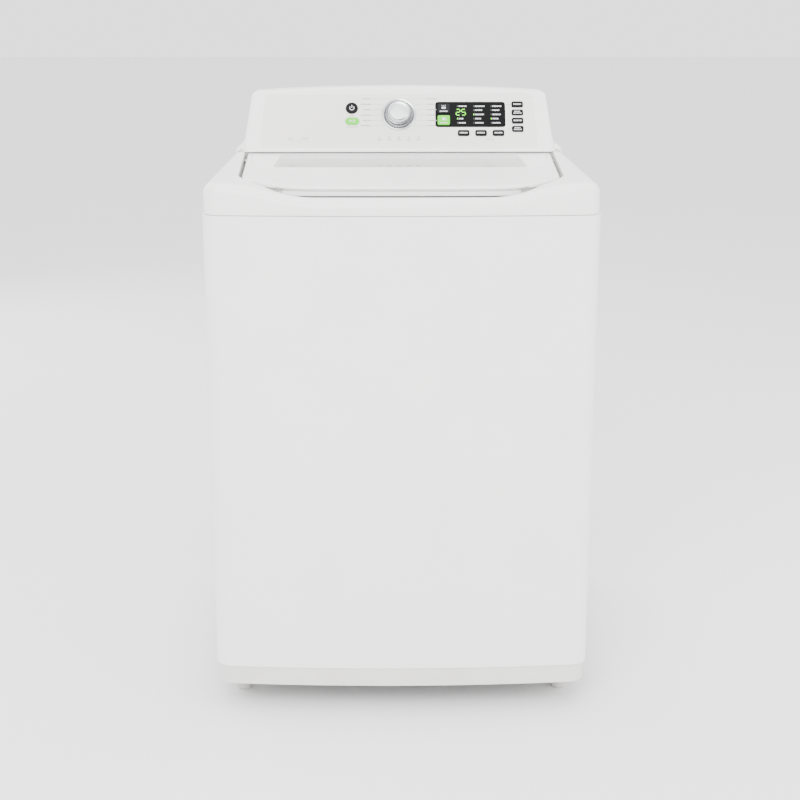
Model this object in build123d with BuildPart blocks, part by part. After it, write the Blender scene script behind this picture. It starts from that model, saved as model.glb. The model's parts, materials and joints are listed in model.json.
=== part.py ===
from build123d import *
from math import cos, radians, sin, sqrt
import os

# A free-standing top-load washing machine. +X is to the right of someone who faces it, +Y is towards
# the wall behind it, and +Z is up. The origin is on the floor, under the middle of its outer box.

os.makedirs("parts", exist_ok=True)

# ---------------------------------------------------------------- overall sizes
WIDTH = 686.0  # side panel to side panel
DEPTH = 700.0  # middle of the bowed front to the ends of the hose ports
HEIGHT = 1100.0  # floor to the crown of the console
SHEET = 1.2  # cabinet steel
PORT_REACH = 22.8  # hose ports beyond the rear panel
BOW = 16.0  # how far the middle of the front stands out of its corners
CORNER_R = 34.0  # upright front corners
INNER_R = 6.0  # least corner of an outline set inside them

FRONT_Y = -DEPTH / 2
REAR_Y = DEPTH / 2 - PORT_REACH - SHEET
PANEL_Y = REAR_Y + SHEET  # outer face of the rear panel

# ---------------------------------------------------------------- heights
BASE_BOTTOM = 50.0
BASE_HEIGHT = 35.5
BASE_SEAM = 1.5
COVER_HEIGHT = 53.0
COVER_SEAM = 1.0
CONSOLE_RISE = 126.0

BASE_TOP = BASE_BOTTOM + BASE_HEIGHT
CABINET_BOTTOM = BASE_TOP + BASE_SEAM
DECK_Z = HEIGHT - CONSOLE_RISE
COVER_BOTTOM = DECK_Z - COVER_HEIGHT
CABINET_TOP = COVER_BOTTOM - COVER_SEAM

# ---------------------------------------------------------------- cabinet and base
CABINET_FLANGE = 18.0
REAR_RETURN = 26.0  # side panels turned in behind
BASE_INSET = 2.5
BASE_DRAFT = 4.0  # degrees
BASE_WALL = 3.0
BASE_LEDGE = 48.0
SEAT_INSET = 4.5
SEAT_WIDTH = 4.0

FOOT_SIDE = 42.0  # foot axis in from the side
FOOT_FRONT = 105.0  # foot axis back from the middle of the front
FOOT_REAR = 52.0  # foot axis forward of the rear edge
FOOT_PAD_R = 14.0
FOOT_PAD_HEIGHT = 16.0
FOOT_HEX_R = 10.0
FOOT_HEX_HEIGHT = 12.0
FOOT_STEM_R = 5.0
FOOT_BOSS_R = 14.0
FOOT_FIT = 0.05  # radial clearance of the stem in its boss
NUT_R = 9.5
NUT_HEIGHT = 6.0

# ---------------------------------------------------------------- top cover
COVER_INSET = 3.0
COVER_WALL = 3.0
COVER_EDGE_R = 18.0
DIP = 24.0  # how far the front of the rim drops below the deck
DIP_HALF = 150.0  # half the level stretch of the dip
DIP_END = 310.0  # where the rim is back at deck height
RIM_ROUND = 2.5
LEDGE_DROP = 34.0  # deck to the ledge that the lid closes over
TROUGH_DROP = 50.0  # deck to the floor of the trough behind the hinge
MOUTH_HALF = 228.0
MOUTH_FRONT = 62.0  # mouth edge back from the middle of the front
MOUTH_R = 110.0

# ---------------------------------------------------------------- lid
LID_SIDE = 34.0  # lid's rear corner in from the cabinet side
LID_FLARE = 0.0636  # growth in half-width for each millimetre towards the back
LID_FRONT = 32.0  # front of the lid back from the middle of the cabinet front
LID_BOW = 6.0
LID_CORNER_R = 143.0
LID_REAR_R = 6.0
LID_GAP = 7.0
LID_DROP = 3.5  # deck to the top of the lid
LID_PLATE = 8.0
LID_ROLL = 62.0  # length of the front that rolls down
LID_ROLL_DROP = 4.0
LID_EDGE_R = 3.5
LINER_DEPTH = 11.5
LINER_INSET = 12.0
LINER_WALL = 2.5
GRIP_HALF = 205.0
GRIP_ROOT = 4.0  # rib under the lid's plate that carries the grip
GRIP_BACK = 2.0  # grip's face behind the edge of the lid
HINGE_BACK = 150.0  # hinge axis in front of the cabinet's rear edge
HINGE_DROP = 13.5  # top of the lid to its hinge axis
HINGE_R = 3.5
HINGE_FIT = 0.05
TONGUE = 26.0  # how far the lid reaches behind its hinge axis

GLASS = 4.0
GLASS_FRONT = 292.0  # front edge of the glass back from the middle of the front
GLASS_SIDE = 32.0  # glass edge in from the lid's edge
GLASS_REAR = 8.0
GLASS_R = 55.0
GLASS_FIT = 0.5  # gasket thickness under the glass
WINDOW_HALF = 239.0
WINDOW_BORDER = 7.0  # printed border at the front of the window
WINDOW_LENGTH = 214.0
WINDOW_R = 10.0

# ---------------------------------------------------------------- console
LEAN = 30.0  # degrees that its face leans back
CONSOLE_DEPTH = 131.2  # foot of the face to the rear edge
CONSOLE_LIP = 1.0  # gap between the foot of the face and the deck's height
CONSOLE_SIDE = 26.0  # console side in from the cabinet side
CONSOLE_TAPER = 14.0  # each side comes in by this much up to the top
CROWN = 9.0
CONSOLE_CORNER_R = 14.0
CONSOLE_FACE_R = 9.0  # round edge of the face at its top and sides
CONSOLE_WALL = 3.0
FLARE_R = 16.0

FASCIA_FOOT = 10.4  # white band under the fascia, along the face
FASCIA_LENGTH = 119.0
FASCIA_SIDE = 32.0  # fascia's lower corner in from the console side
FASCIA_TAPER = 9.0
FASCIA_PLATE = 2.0
FASCIA_PROUD = 0.3
FASCIA_R = 7.0
FASCIA_LEDGE = 7.0

# places on the fascia: u to the right of the middle, v up from its lower edge
KNOB_V = 74.0
POWER_UV = (-97.0, 87.5)
START_UV = (-96.0, 58.5)
DISPLAY_V = 73.5
DISPLAY_EDGE = 57.0  # right edge of the display in from the fascia's lower corner
DISPLAY_SIZE = (144.5, 57.0)
DISPLAY_R = 6.0
MODE_KEY_SIZE = (25.0, 21.0)
MODE_KEY_U = 17.5  # mode key axis in from the display's left edge
MODE_KEY_V = (13.0, -13.0)
OPTION_KEY_SIZE = (23.4, 13.0)
OPTION_KEY_STEP = 35.7
OPTION_KEY_SHIFT = 14.3  # first option key to the left of the display's middle
OPTION_KEY_V = 31.8
SETTING_KEY_STEP = 18.3
SETTING_KEY_V = 95.8
SETTING_KEY_EDGE = 41.2  # setting key axis in from the fascia's lower corner
KEY_R = 3.2
KEY_FIT = 0.35
KEY_PROUD = 1.9
KEY_ROUND = 0.7
KEY_FLANGE = 1.4
KEY_FLANGE_PLATE = 1.6
KEY_TRAVEL = 1.5
POWER_R = 12.5
START_SIZE = (28.0, 16.0)

BEZEL_R = 36.0
BEZEL_BORE_R = 27.2
BEZEL_PLATE = 2.6
BEZEL_ROUND = 1.6
SKIRT_R = 26.2
SKIRT_HEIGHT = 7.5
SKIRT_FLUTES = 36
CAP_R = 23.0
CAP_HEIGHT = 11.0
KNOB_SHAFT_R = 3.0
BOARD_BACK = 12.0  # fascia's face plane to the face of the control board
BOARD = 1.6

# ---------------------------------------------------------------- tub, basket and drive
TUB_SWING = 53.0  # tub wall to cabinet side
TUB_FLOOR = 300.0
TUB_WALL = 4.0
TUB_BASE = 6.0
TUB_HEADROOM = 44.0  # tub rim to cabinet top
TUB_RING = 12.0
TUB_RING_LIP = 40.0
BASKET_GAP = 28.0
BASKET_WALL = 1.0
BASKET_RAISE = 25.0
BASKET_DROP = 30.0  # basket rim under the tub rim
BALANCE_RING = 26.0
BALANCE_WIDTH = 30.0
BALANCE_STEP = 4.0  # ring stands out of the basket wall
HUB_PLATE_R = 110.0
HUB_PLATE = 7.0
SPIN_TUBE_R = 18.0
SHAFT_R = 8.0
SHAFT_FIT = 0.05
PLATE_R = 205.0
PLATE_CLEAR = 4.0
PLATE_HEIGHT = 12.0
PLATE_DOME = 24.0
PLATE_DOME_R = 62.0
VANES = 6
VANE_HEIGHT = 20.0
GEARCASE_R = 75.0
GEARCASE_HEIGHT = 84.0
BEARING_R = 31.0
BEARING_WIDTH = 14.0
MOTOR_R = 62.0
MOTOR_HEIGHT = 112.0
MOTOR_X = -165.0
DRIVE_PULLEY_R = 88.0
MOTOR_PULLEY_R = 24.0
PULLEY_WIDTH = 14.0
PULLEY_DROP = 30.0  # pulleys' top under the gearcase
BELT = 3.0
BELT_WIDTH = 9.0
BELT_CLEAR = 0.3
ROD_R = 4.0
ROD_IN = 81.0  # suspension rod in from the cabinet side and from its front and back chords
ROD_CUP_R = 16.0
ROD_CUP = 7.0
SPRING_LENGTH = 66.0
SPRING_R = 11.5
SPRING_WIRE_R = 2.0
LUG = 12.0
PUMP_XY = (110.0, 130.0)
PUMP_R = 44.0
PUMP_HEIGHT = 66.0
HOSE_X = 120.0
HOSE_R = 13.5
HOSE_BORE_R = 10.4
SPIGOT_R = 10.0
OUTLET_DROP = 62.0  # drain outlet under the cabinet top
VALVE_X = -120.0
VALVE_DROP = 48.0  # inlet ports under the cabinet top
PORT_STEP = 62.0
PORT_R = 13.2
PORT_BORE_R = 8.0

TUB_Y = (FRONT_Y + REAR_Y) / 2
TUB_R = min(WIDTH, REAR_Y - FRONT_Y + BOW) / 2 - TUB_SWING
TUB_TOP = CABINET_TOP - TUB_HEADROOM


# ---------------------------------------------------------------- shared outlines
def cabinet_plan(inset):
    """Plan of the cabinet, bowed at the front, drawn inset inside its outer face."""
    half = WIDTH / 2 - inset
    front = FRONT_Y + inset
    with BuildSketch(Plane.XY) as plan:
        with BuildLine():
            Line((half, front + BOW), (half, REAR_Y - inset))
            Line((half, REAR_Y - inset), (-half, REAR_Y - inset))
            Line((-half, REAR_Y - inset), (-half, front + BOW))
            ThreePointArc((-half, front + BOW), (0, front), (half, front + BOW))
        make_face()
        fillet(plan.vertices().group_by(Axis.Y)[0], max(CORNER_R - inset, INNER_R))
    return plan.sketch_local


def stands_on(edge, outline):
    """True where an edge runs along an outline drawn on the floor, directly above it."""
    spots = [edge @ 0, edge @ 0.5, edge @ 1]
    upright = abs((edge % 0.5).Z) > 0.9
    return not upright and all(outline.distance_to(Vertex(spot.X, spot.Y, 0)) < 0.05 for spot in spots)


HINGE_Y = REAR_Y - HINGE_BACK
LID_REAR_Y = HINGE_Y + TONGUE
LID_FRONT_Y = FRONT_Y + LID_FRONT


def lid_half(y):
    """Half the lid's width at a place along its depth."""
    return WIDTH / 2 - LID_SIDE - (LID_REAR_Y - y) * LID_FLARE


def lid_plan(grow):
    """Plan of the lid, wider at the back, with large front corners, grown outwards."""
    rear = LID_REAR_Y + grow
    chord = LID_FRONT_Y + LID_BOW - grow
    half_rear = lid_half(rear) + grow
    half_front = lid_half(chord) + grow
    with BuildSketch(Plane.XY) as plan:
        with BuildLine():
            Polyline((half_front, chord), (half_rear, rear), (-half_rear, rear), (-half_front, chord))
            ThreePointArc((-half_front, chord), (0, chord - LID_BOW), (half_front, chord))
        make_face()
        fillet(plan.vertices().group_by(Axis.Y)[0], LID_CORNER_R + grow)
        fillet(plan.vertices().group_by(Axis.Y)[-1], max(LID_REAR_R + grow, 1.0))
    return plan.sketch_local


def glass_plan(grow):
    """Plan of the lid's glass, grown outwards."""
    front = FRONT_Y + GLASS_FRONT - grow
    rear = LID_REAR_Y - GLASS_REAR + grow
    half_front = lid_half(front) - GLASS_SIDE / 2 + grow
    half_rear = lid_half(rear) - GLASS_SIDE / 4 + grow
    with BuildSketch(Plane.XY) as plan:
        with BuildLine():
            Polyline(
                (half_front, front), (half_rear, rear), (-half_rear, rear), (-half_front, front), close=True
            )
        make_face()
        fillet(plan.vertices().group_by(Axis.Y)[0], GLASS_R + grow)
        fillet(plan.vertices().group_by(Axis.Y)[-1], LID_REAR_R + grow)
    return plan.sketch_local


def window_plan(grow):
    """Plan of the see-through part of the glass, grown outwards."""
    middle = FRONT_Y + GLASS_FRONT + WINDOW_BORDER + WINDOW_LENGTH / 2
    with BuildSketch(Plane.XY) as plan:
        with Locations((0, middle)):
            RectangleRounded(2 * (WINDOW_HALF + grow), WINDOW_LENGTH + 2 * grow, WINDOW_R + grow)
    return plan.sketch_local


def mouth_plan(grow):
    """Plan of the wash mouth through the top cover, grown outwards."""
    front = FRONT_Y + MOUTH_FRONT - grow
    rear = LID_REAR_Y - TONGUE * 2.5 + grow
    half = MOUTH_HALF + grow
    with BuildSketch(Plane.XY) as plan:
        with Locations((0, (front + rear) / 2)):
            RectangleRounded(2 * half, rear - front, MOUTH_R + grow)
    return plan.sketch_local


# ---------------------------------------------------------------- cabinet
SCREW_R = 2.0
SCREW_HEAD_R = 4.2
SCREW_HEAD = 2.2
SCREW_LENGTH = 8.0
SCREW_IN = 16.0  # screw axis in from the panel's edges
PANEL_IN = 5.0  # rear panel in from the cabinet's edges
ACCESS_SIZE = (330.0, 250.0)
ACCESS_RISE = 190.0  # middle of the access cover above the cabinet's bottom
ACCESS_LAP = 14.0

PANEL_HALF = WIDTH / 2 - PANEL_IN
PANEL_LOW = CABINET_BOTTOM + PANEL_IN
PANEL_HIGH = CABINET_TOP - PANEL_IN
ACCESS_Z = CABINET_BOTTOM + ACCESS_RISE

side_screw_z = [PANEL_LOW + SCREW_IN + (PANEL_HIGH - PANEL_LOW - 2 * SCREW_IN) * k / 4 for k in range(5)]
edge_screws = [(side * (PANEL_HALF - SCREW_IN), z) for side in (-1, 1) for z in side_screw_z]
row_screws = [
    (x, z) for x in (-PANEL_HALF / 3, PANEL_HALF / 3) for z in (side_screw_z[0], side_screw_z[-1])
]
panel_screw_places = edge_screws + row_screws
access_screw_places = [
    (sx * (ACCESS_SIZE[0] / 2 + ACCESS_LAP / 2), ACCESS_Z + sz * ACCESS_SIZE[1] / 3)
    for sx in (-1, 1)
    for sz in (-1, 1)
]
REAR_FACE = Plane.XZ.offset(-PANEL_Y)  # rear panel's outer face; its normal points forwards
CABINET_REAR_FACE = Plane.XZ.offset(-REAR_Y)

with BuildPart() as cabinet_shell:
    with BuildSketch(Plane.XY.offset(CABINET_BOTTOM)):
        add(cabinet_plan(0))
        add(cabinet_plan(SHEET), mode=Mode.SUBTRACT)
    extrude(amount=CABINET_TOP - CABINET_BOTTOM)
    for flange_z in (CABINET_BOTTOM, CABINET_TOP - SHEET):
        with BuildSketch(Plane.XY.offset(flange_z)):
            add(cabinet_plan(0))
            add(cabinet_plan(CABINET_FLANGE), mode=Mode.SUBTRACT)
        extrude(amount=SHEET)
    with BuildSketch(CABINET_REAR_FACE):
        with Locations((0, (CABINET_BOTTOM + CABINET_TOP) / 2)):
            Rectangle(WIDTH - 2 * REAR_RETURN, CABINET_TOP - CABINET_BOTTOM - 2 * REAR_RETURN)
    extrude(amount=SHEET, mode=Mode.SUBTRACT)
    with BuildSketch(CABINET_REAR_FACE):
        with Locations(*panel_screw_places):
            Circle(SCREW_R)
    extrude(amount=SHEET, mode=Mode.SUBTRACT)
cabinet_shell.part.label = "cabinet_shell"
export_step(cabinet_shell.part, "parts/cabinet_shell.step")

OUTLET_Z = CABINET_TOP - OUTLET_DROP
VALVE_Z = CABINET_TOP - VALVE_DROP
GLAND_XZ = (VALVE_X + 2.2 * PORT_STEP, VALVE_Z)
GLAND_R = 9.0
PANEL_CLEAR = 0.3  # gap between a port's shoulder and the rear panel
PORT_FLANGE_R = 16.0
HOSE_COLLAR_R = 17.0
port_places = [(VALVE_X - PORT_STEP / 2, VALVE_Z), (VALVE_X + PORT_STEP / 2, VALVE_Z)]
BEAD_HEIGHT = 14.0
BEAD_PROUD = 1.5
bead_z = [ACCESS_Z + ACCESS_SIZE[1] / 2 + 70 + 90 * k for k in range(4)]
BEAD_TOP_LIMIT = VALVE_Z - 45

with BuildPart() as rear_panel:
    with BuildSketch(REAR_FACE):
        with Locations((0, (PANEL_LOW + PANEL_HIGH) / 2)):
            RectangleRounded(2 * PANEL_HALF, PANEL_HIGH - PANEL_LOW, 6)
        with Locations((0, ACCESS_Z)):
            RectangleRounded(*ACCESS_SIZE, 8, mode=Mode.SUBTRACT)
        with Locations(*panel_screw_places, *access_screw_places):
            Circle(SCREW_R, mode=Mode.SUBTRACT)
        with Locations(*port_places):
            Circle(PORT_FLANGE_R + PANEL_CLEAR, mode=Mode.SUBTRACT)
        with Locations((HOSE_X, OUTLET_Z)):
            Circle(HOSE_COLLAR_R + PANEL_CLEAR, mode=Mode.SUBTRACT)
        with Locations(GLAND_XZ):
            Circle(GLAND_R, mode=Mode.SUBTRACT)
    extrude(amount=SHEET)
    with BuildSketch(REAR_FACE):
        with Locations(*[(0, z) for z in bead_z if z < BEAD_TOP_LIMIT]):
            SlotOverall(2 * PANEL_HALF - 6 * SCREW_IN, BEAD_HEIGHT)
    extrude(amount=-BEAD_PROUD)
rear_panel.part.label = "rear_panel"
export_step(rear_panel.part, "parts/rear_panel.step")

with BuildPart() as rear_access_cover:
    with BuildSketch(REAR_FACE):
        with Locations((0, ACCESS_Z)):
            RectangleRounded(ACCESS_SIZE[0] + 2 * ACCESS_LAP, ACCESS_SIZE[1] + 2 * ACCESS_LAP, 10)
        with Locations(*access_screw_places):
            Circle(SCREW_R, mode=Mode.SUBTRACT)
    extrude(amount=-SHEET)
    with BuildSketch(REAR_FACE.offset(-SHEET)):
        with Locations((0, ACCESS_Z)):
            with GridLocations(0, BEAD_HEIGHT * 3, 1, 4):
                SlotOverall(ACCESS_SIZE[0] - 4 * BEAD_HEIGHT, BEAD_HEIGHT)
    extrude(amount=-BEAD_PROUD)
rear_access_cover.part.label = "rear_access_cover"
export_step(rear_access_cover.part, "parts/rear_access_cover.step")

# ---------------------------------------------------------------- base frame and feet
foot_places = [
    (sx * (WIDTH / 2 - FOOT_SIDE), y)
    for y in (FRONT_Y + FOOT_FRONT, REAR_Y - FOOT_REAR)
    for sx in (-1, 1)
]
foot_names = ["foot_front_left", "foot_front_right", "foot_rear_left", "foot_rear_right"]
FOOT_BOSS_LIFT = 8.0  # boss starts this far above the base's lower edge

with BuildPart() as base_frame:
    with BuildSketch(Plane.XY.offset(BASE_TOP)):
        add(cabinet_plan(BASE_INSET))
    extrude(amount=-BASE_HEIGHT, taper=BASE_DRAFT)
    with BuildSketch(Plane.XY.offset(BASE_TOP - BASE_WALL)):
        add(cabinet_plan(BASE_INSET + BASE_WALL))
    extrude(amount=-BASE_HEIGHT, taper=BASE_DRAFT, mode=Mode.SUBTRACT)
    with BuildSketch(Plane.XY.offset(BASE_TOP)):
        add(cabinet_plan(BASE_LEDGE))
    extrude(amount=-BASE_HEIGHT, mode=Mode.SUBTRACT)
    with BuildSketch(Plane.XY.offset(BASE_TOP)):
        add(cabinet_plan(SEAT_INSET))
        add(cabinet_plan(SEAT_INSET + SEAT_WIDTH), mode=Mode.SUBTRACT)
    extrude(amount=BASE_SEAM)
    with BuildSketch(Plane.XY.offset(BASE_BOTTOM + FOOT_BOSS_LIFT)):
        with Locations(*foot_places):
            Circle(FOOT_BOSS_R)
    extrude(amount=BASE_HEIGHT - FOOT_BOSS_LIFT)
    with BuildSketch(Plane.XY.offset(BASE_BOTTOM)):
        with Locations(*foot_places):
            Circle(FOOT_STEM_R + FOOT_FIT)
    extrude(amount=BASE_HEIGHT, mode=Mode.SUBTRACT)
base_frame.part.label = "base_frame"
export_step(base_frame.part, "parts/base_frame.step")

FOOT_TOP = BASE_TOP + NUT_HEIGHT + FOOT_STEM_R

for foot_name, (foot_x, foot_y) in zip(foot_names, foot_places):
    with BuildPart() as foot:
        with BuildSketch(Plane.XY):
            with Locations((foot_x, foot_y)):
                Circle(FOOT_PAD_R)
        extrude(amount=FOOT_PAD_HEIGHT)
        chamfer(foot.faces().sort_by(Axis.Z)[0].edges(), 1.5)
        chamfer(foot.faces().sort_by(Axis.Z)[-1].edges(), 3.0)
        with BuildSketch(Plane.XY.offset(FOOT_PAD_HEIGHT)):
            with Locations((foot_x, foot_y)):
                RegularPolygon(FOOT_HEX_R, 6)
        extrude(amount=FOOT_HEX_HEIGHT)
        with BuildSketch(Plane.XY.offset(FOOT_PAD_HEIGHT)):
            with Locations((foot_x, foot_y)):
                Circle(FOOT_STEM_R)
        extrude(amount=FOOT_TOP - FOOT_PAD_HEIGHT)
    foot.part.label = foot_name
    export_step(foot.part, f"parts/{foot_name}.step")



with BuildPart() as fasteners:
    for places, seat in ((panel_screw_places, 0), (access_screw_places, SHEET)):
        with BuildSketch(REAR_FACE.offset(-seat)):
            with Locations(*places):
                Circle(SCREW_HEAD_R)
        extrude(amount=-SCREW_HEAD)
        with BuildSketch(REAR_FACE.offset(-seat)):
            with Locations(*places):
                Circle(SCREW_R)
        extrude(amount=SCREW_LENGTH)
    with BuildSketch(Plane.XY.offset(BASE_TOP)):
        with Locations(*foot_places):
            RegularPolygon(NUT_R, 6)
            Circle(FOOT_STEM_R + FOOT_FIT, mode=Mode.SUBTRACT)
    extrude(amount=NUT_HEIGHT)
fasteners.part.label = "fasteners"
export_step(fasteners.part, "parts/fasteners.step")


# ---------------------------------------------------------------- top cover
def cover_block(inset):
    """The top cover's outer form, with its front dipped, drawn inset inside its faces."""
    deck = DECK_Z - inset
    low = deck - DIP
    middle_x = (DIP_HALF + DIP_END) / 2
    bend = ((middle_x - DIP_HALF) ** 2 + (DIP / 2) ** 2) / DIP
    with BuildPart() as block:
        with BuildSketch(Plane.XY.offset(COVER_BOTTOM)):
            add(cabinet_plan(COVER_INSET + inset))
        extrude(amount=deck - COVER_BOTTOM)
        with BuildSketch(Plane.XZ.offset(-HINGE_Y)):
            with BuildLine():
                Line((-DIP_HALF, low), (DIP_HALF, low))
                RadiusArc((DIP_HALF, low), (middle_x, low + DIP / 2), -bend)
                RadiusArc((middle_x, low + DIP / 2), (DIP_END, deck), bend)
                Polyline((DIP_END, deck), (DIP_END, deck + DIP), (-DIP_END, deck + DIP), (-DIP_END, deck))
                RadiusArc((-DIP_END, deck), (-middle_x, low + DIP / 2), bend)
                RadiusArc((-middle_x, low + DIP / 2), (-DIP_HALF, low), -bend)
            make_face()
        extrude(amount=DEPTH, mode=Mode.SUBTRACT)
        side = WIDTH / 2 - COVER_INSET - inset - CORNER_R / 2
        front = FRONT_Y + BOW + COVER_INSET + inset + CORNER_R / 2
        rim = [e for e in block.edges() if e.center().Z > low - 1 and e.center().Y < REAR_Y - DIP]
        fillet([e for e in rim if abs(e.center().X) > side or e.center().Y < front], COVER_EDGE_R - inset)
    return block.part


LEDGE_Z = DECK_Z - LEDGE_DROP
TROUGH_Z = DECK_Z - TROUGH_DROP
TROUGH_FRONT = HINGE_Y - TONGUE
LID_TOP = DECK_Z - LID_DROP
HINGE_Z = LID_TOP - HINGE_DROP
HINGE_PLANE = Plane(origin=(0, HINGE_Y, HINGE_Z), x_dir=(0, 1, 0), z_dir=(1, 0, 0))
SEAT_LAP = 5.0

with BuildPart() as cover_well:
    with BuildSketch(Plane.XY.offset(COVER_BOTTOM)):
        add(lid_plan(LID_GAP + COVER_WALL))
    extrude(amount=COVER_HEIGHT)
    add(cover_block(0), mode=Mode.INTERSECT)

with BuildPart() as top_cover:
    add(cover_block(0))
    add(cover_block(COVER_WALL), mode=Mode.SUBTRACT)
    add(cover_well.part)
    with BuildSketch(Plane.XY.offset(CABINET_TOP)):
        add(cabinet_plan(SEAT_LAP))
        add(cabinet_plan(SEAT_LAP + 2 * SEAT_WIDTH), mode=Mode.SUBTRACT)
    extrude(amount=COVER_SEAM + COVER_WALL)
    with BuildSketch(Plane.XY.offset(COVER_BOTTOM)):
        add(lid_plan(LID_GAP))
    extrude(amount=COVER_HEIGHT, mode=Mode.SUBTRACT)
    rim_outline = lid_plan(LID_GAP).wire()
    rim_edges = [
        e for e in top_cover.edges() if e.center().Z > DECK_Z - DIP - 1 and stands_on(e, rim_outline)
    ]
    fillet(rim_edges, RIM_ROUND)
    with BuildSketch(HINGE_PLANE):
        Circle(HINGE_R)
    extrude(amount=lid_half(HINGE_Y) + LID_GAP + 2 * COVER_WALL, both=True, mode=Mode.SUBTRACT)
top_cover.part.label = "top_cover"
export_step(top_cover.part, "parts/top_cover.step")

with BuildPart() as mouth_ring:
    with BuildSketch(Plane.XY.offset(COVER_BOTTOM)):
        add(lid_plan(LID_GAP))
    extrude(amount=LEDGE_Z - COVER_BOTTOM)
    with BuildSketch(Plane.XY.offset(TROUGH_Z)):
        with Locations((0, TROUGH_FRONT + WIDTH / 2)):
            Rectangle(2 * WIDTH, WIDTH)
    extrude(amount=COVER_HEIGHT, mode=Mode.SUBTRACT)
    with BuildSketch(Plane.XY.offset(COVER_BOTTOM)):
        with Locations((0, TROUGH_FRONT - COVER_WALL - WIDTH / 2)):
            Rectangle(2 * WIDTH, WIDTH)
        add(mouth_plan(COVER_WALL), mode=Mode.SUBTRACT)
    extrude(amount=LEDGE_Z - COVER_WALL - COVER_BOTTOM, mode=Mode.SUBTRACT)
    with BuildSketch(Plane.XY.offset(COVER_BOTTOM)):
        add(mouth_plan(0))
    extrude(amount=COVER_HEIGHT, mode=Mode.SUBTRACT)
mouth_ring.part.label = "mouth_ring"
export_step(mouth_ring.part, "parts/mouth_ring.step")

# ---------------------------------------------------------------- lid
FRAME_Z = LID_TOP - LID_PLATE
LINER_Z = FRAME_Z - LINER_DEPTH
LOCK_XY = (258.0, HINGE_Y - 276.0)
TAB = (3.0, 10.0, 8.0)
BOSS_LENGTH = 15.0
BOSS_HALF = 6.0
BOSS_IN = 4.3  # boss's outer end in from the lid's edge

with BuildPart() as lid_frame:
    with BuildSketch(Plane.XY.offset(FRAME_Z)):
        add(lid_plan(0))
    extrude(amount=LID_PLATE)
    with BuildSketch(Plane.YZ):
        with BuildLine():
            TangentArc(
                (LID_FRONT_Y + LID_ROLL, LID_TOP), (LID_FRONT_Y, LID_TOP - LID_ROLL_DROP), tangent=(-1, 0)
            )
            Polyline(
                (LID_FRONT_Y, LID_TOP - LID_ROLL_DROP),
                (LID_FRONT_Y - LID_BOW, LID_TOP - LID_ROLL_DROP),
                (LID_FRONT_Y - LID_BOW, LID_TOP + LID_BOW),
                (LID_FRONT_Y + LID_ROLL, LID_TOP + LID_BOW),
                (LID_FRONT_Y + LID_ROLL, LID_TOP),
            )
        make_face()
    extrude(amount=WIDTH, both=True, mode=Mode.SUBTRACT)
    lid_outline = lid_plan(0).wire()
    lid_rim = [
        e
        for e in lid_frame.edges()
        if e.center().Z > LID_TOP - LID_ROLL_DROP - 1
        and e.center().Y < HINGE_Y
        and stands_on(e, lid_outline)
    ]
    fillet(lid_rim, LID_EDGE_R)
    with BuildSketch(Plane.XY.offset(FRAME_Z)):
        add(lid_plan(-GRIP_BACK))
        add(lid_plan(-LINER_INSET), mode=Mode.SUBTRACT)
        with Locations((0, LID_FRONT_Y)):
            Rectangle(2 * GRIP_HALF, LID_CORNER_R, mode=Mode.INTERSECT)
    extrude(amount=-GRIP_ROOT)
    with BuildSketch(Plane.XY.offset(LID_TOP - GLASS - GLASS_FIT)):
        add(glass_plan(0))
    extrude(amount=LID_PLATE, mode=Mode.SUBTRACT)
    with BuildSketch(Plane.XY.offset(FRAME_Z)):
        add(window_plan(0))
    extrude(amount=LID_PLATE, mode=Mode.SUBTRACT)
lid_frame.part.label = "lid_frame"
export_step(lid_frame.part, "parts/lid_frame.step")

with BuildPart() as lid_glass:
    with BuildSketch(Plane.XY.offset(LID_TOP - GLASS)):
        add(glass_plan(-GLASS_FIT))
    extrude(amount=GLASS)
lid_glass.part.label = "lid_glass"
export_step(lid_glass.part, "parts/lid_glass.step")

with BuildPart() as lid_seal:
    with BuildSketch(Plane.XY.offset(LID_TOP - GLASS - GLASS_FIT)):
        add(glass_plan(-4 * GLASS_FIT))
        add(window_plan(4 * GLASS_FIT), mode=Mode.SUBTRACT)
    extrude(amount=GLASS_FIT)
lid_seal.part.label = "lid_seal"
export_step(lid_seal.part, "parts/lid_seal.step")

with BuildPart() as lid_liner:
    with BuildSketch(Plane.XY.offset(LINER_Z)):
        add(lid_plan(-LINER_INSET))
    extrude(amount=LINER_DEPTH)
    with BuildSketch(Plane.XY.offset(LINER_Z + LINER_WALL)):
        add(lid_plan(-LINER_INSET - LINER_WALL))
        add(window_plan(LINER_WALL), mode=Mode.SUBTRACT)
    extrude(amount=LINER_DEPTH, mode=Mode.SUBTRACT)
    with BuildSketch(Plane.XY.offset(LINER_Z)):
        add(window_plan(0))
    extrude(amount=LINER_DEPTH, mode=Mode.SUBTRACT)
    for side in (-1, 1):
        boss_end = side * (lid_half(HINGE_Y) - BOSS_IN)
        with BuildSketch(HINGE_PLANE.offset(boss_end)):
            with Locations((0, (LINER_Z + FRAME_Z) / 2 - HINGE_Z)):
                Rectangle(2 * BOSS_HALF, LINER_DEPTH)
        extrude(amount=-side * BOSS_LENGTH)
    with BuildSketch(HINGE_PLANE):
        Circle(HINGE_R + HINGE_FIT)
    extrude(amount=WIDTH, both=True, mode=Mode.SUBTRACT)
lid_liner.part.label = "lid_liner"
export_step(lid_liner.part, "parts/lid_liner.step")

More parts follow.
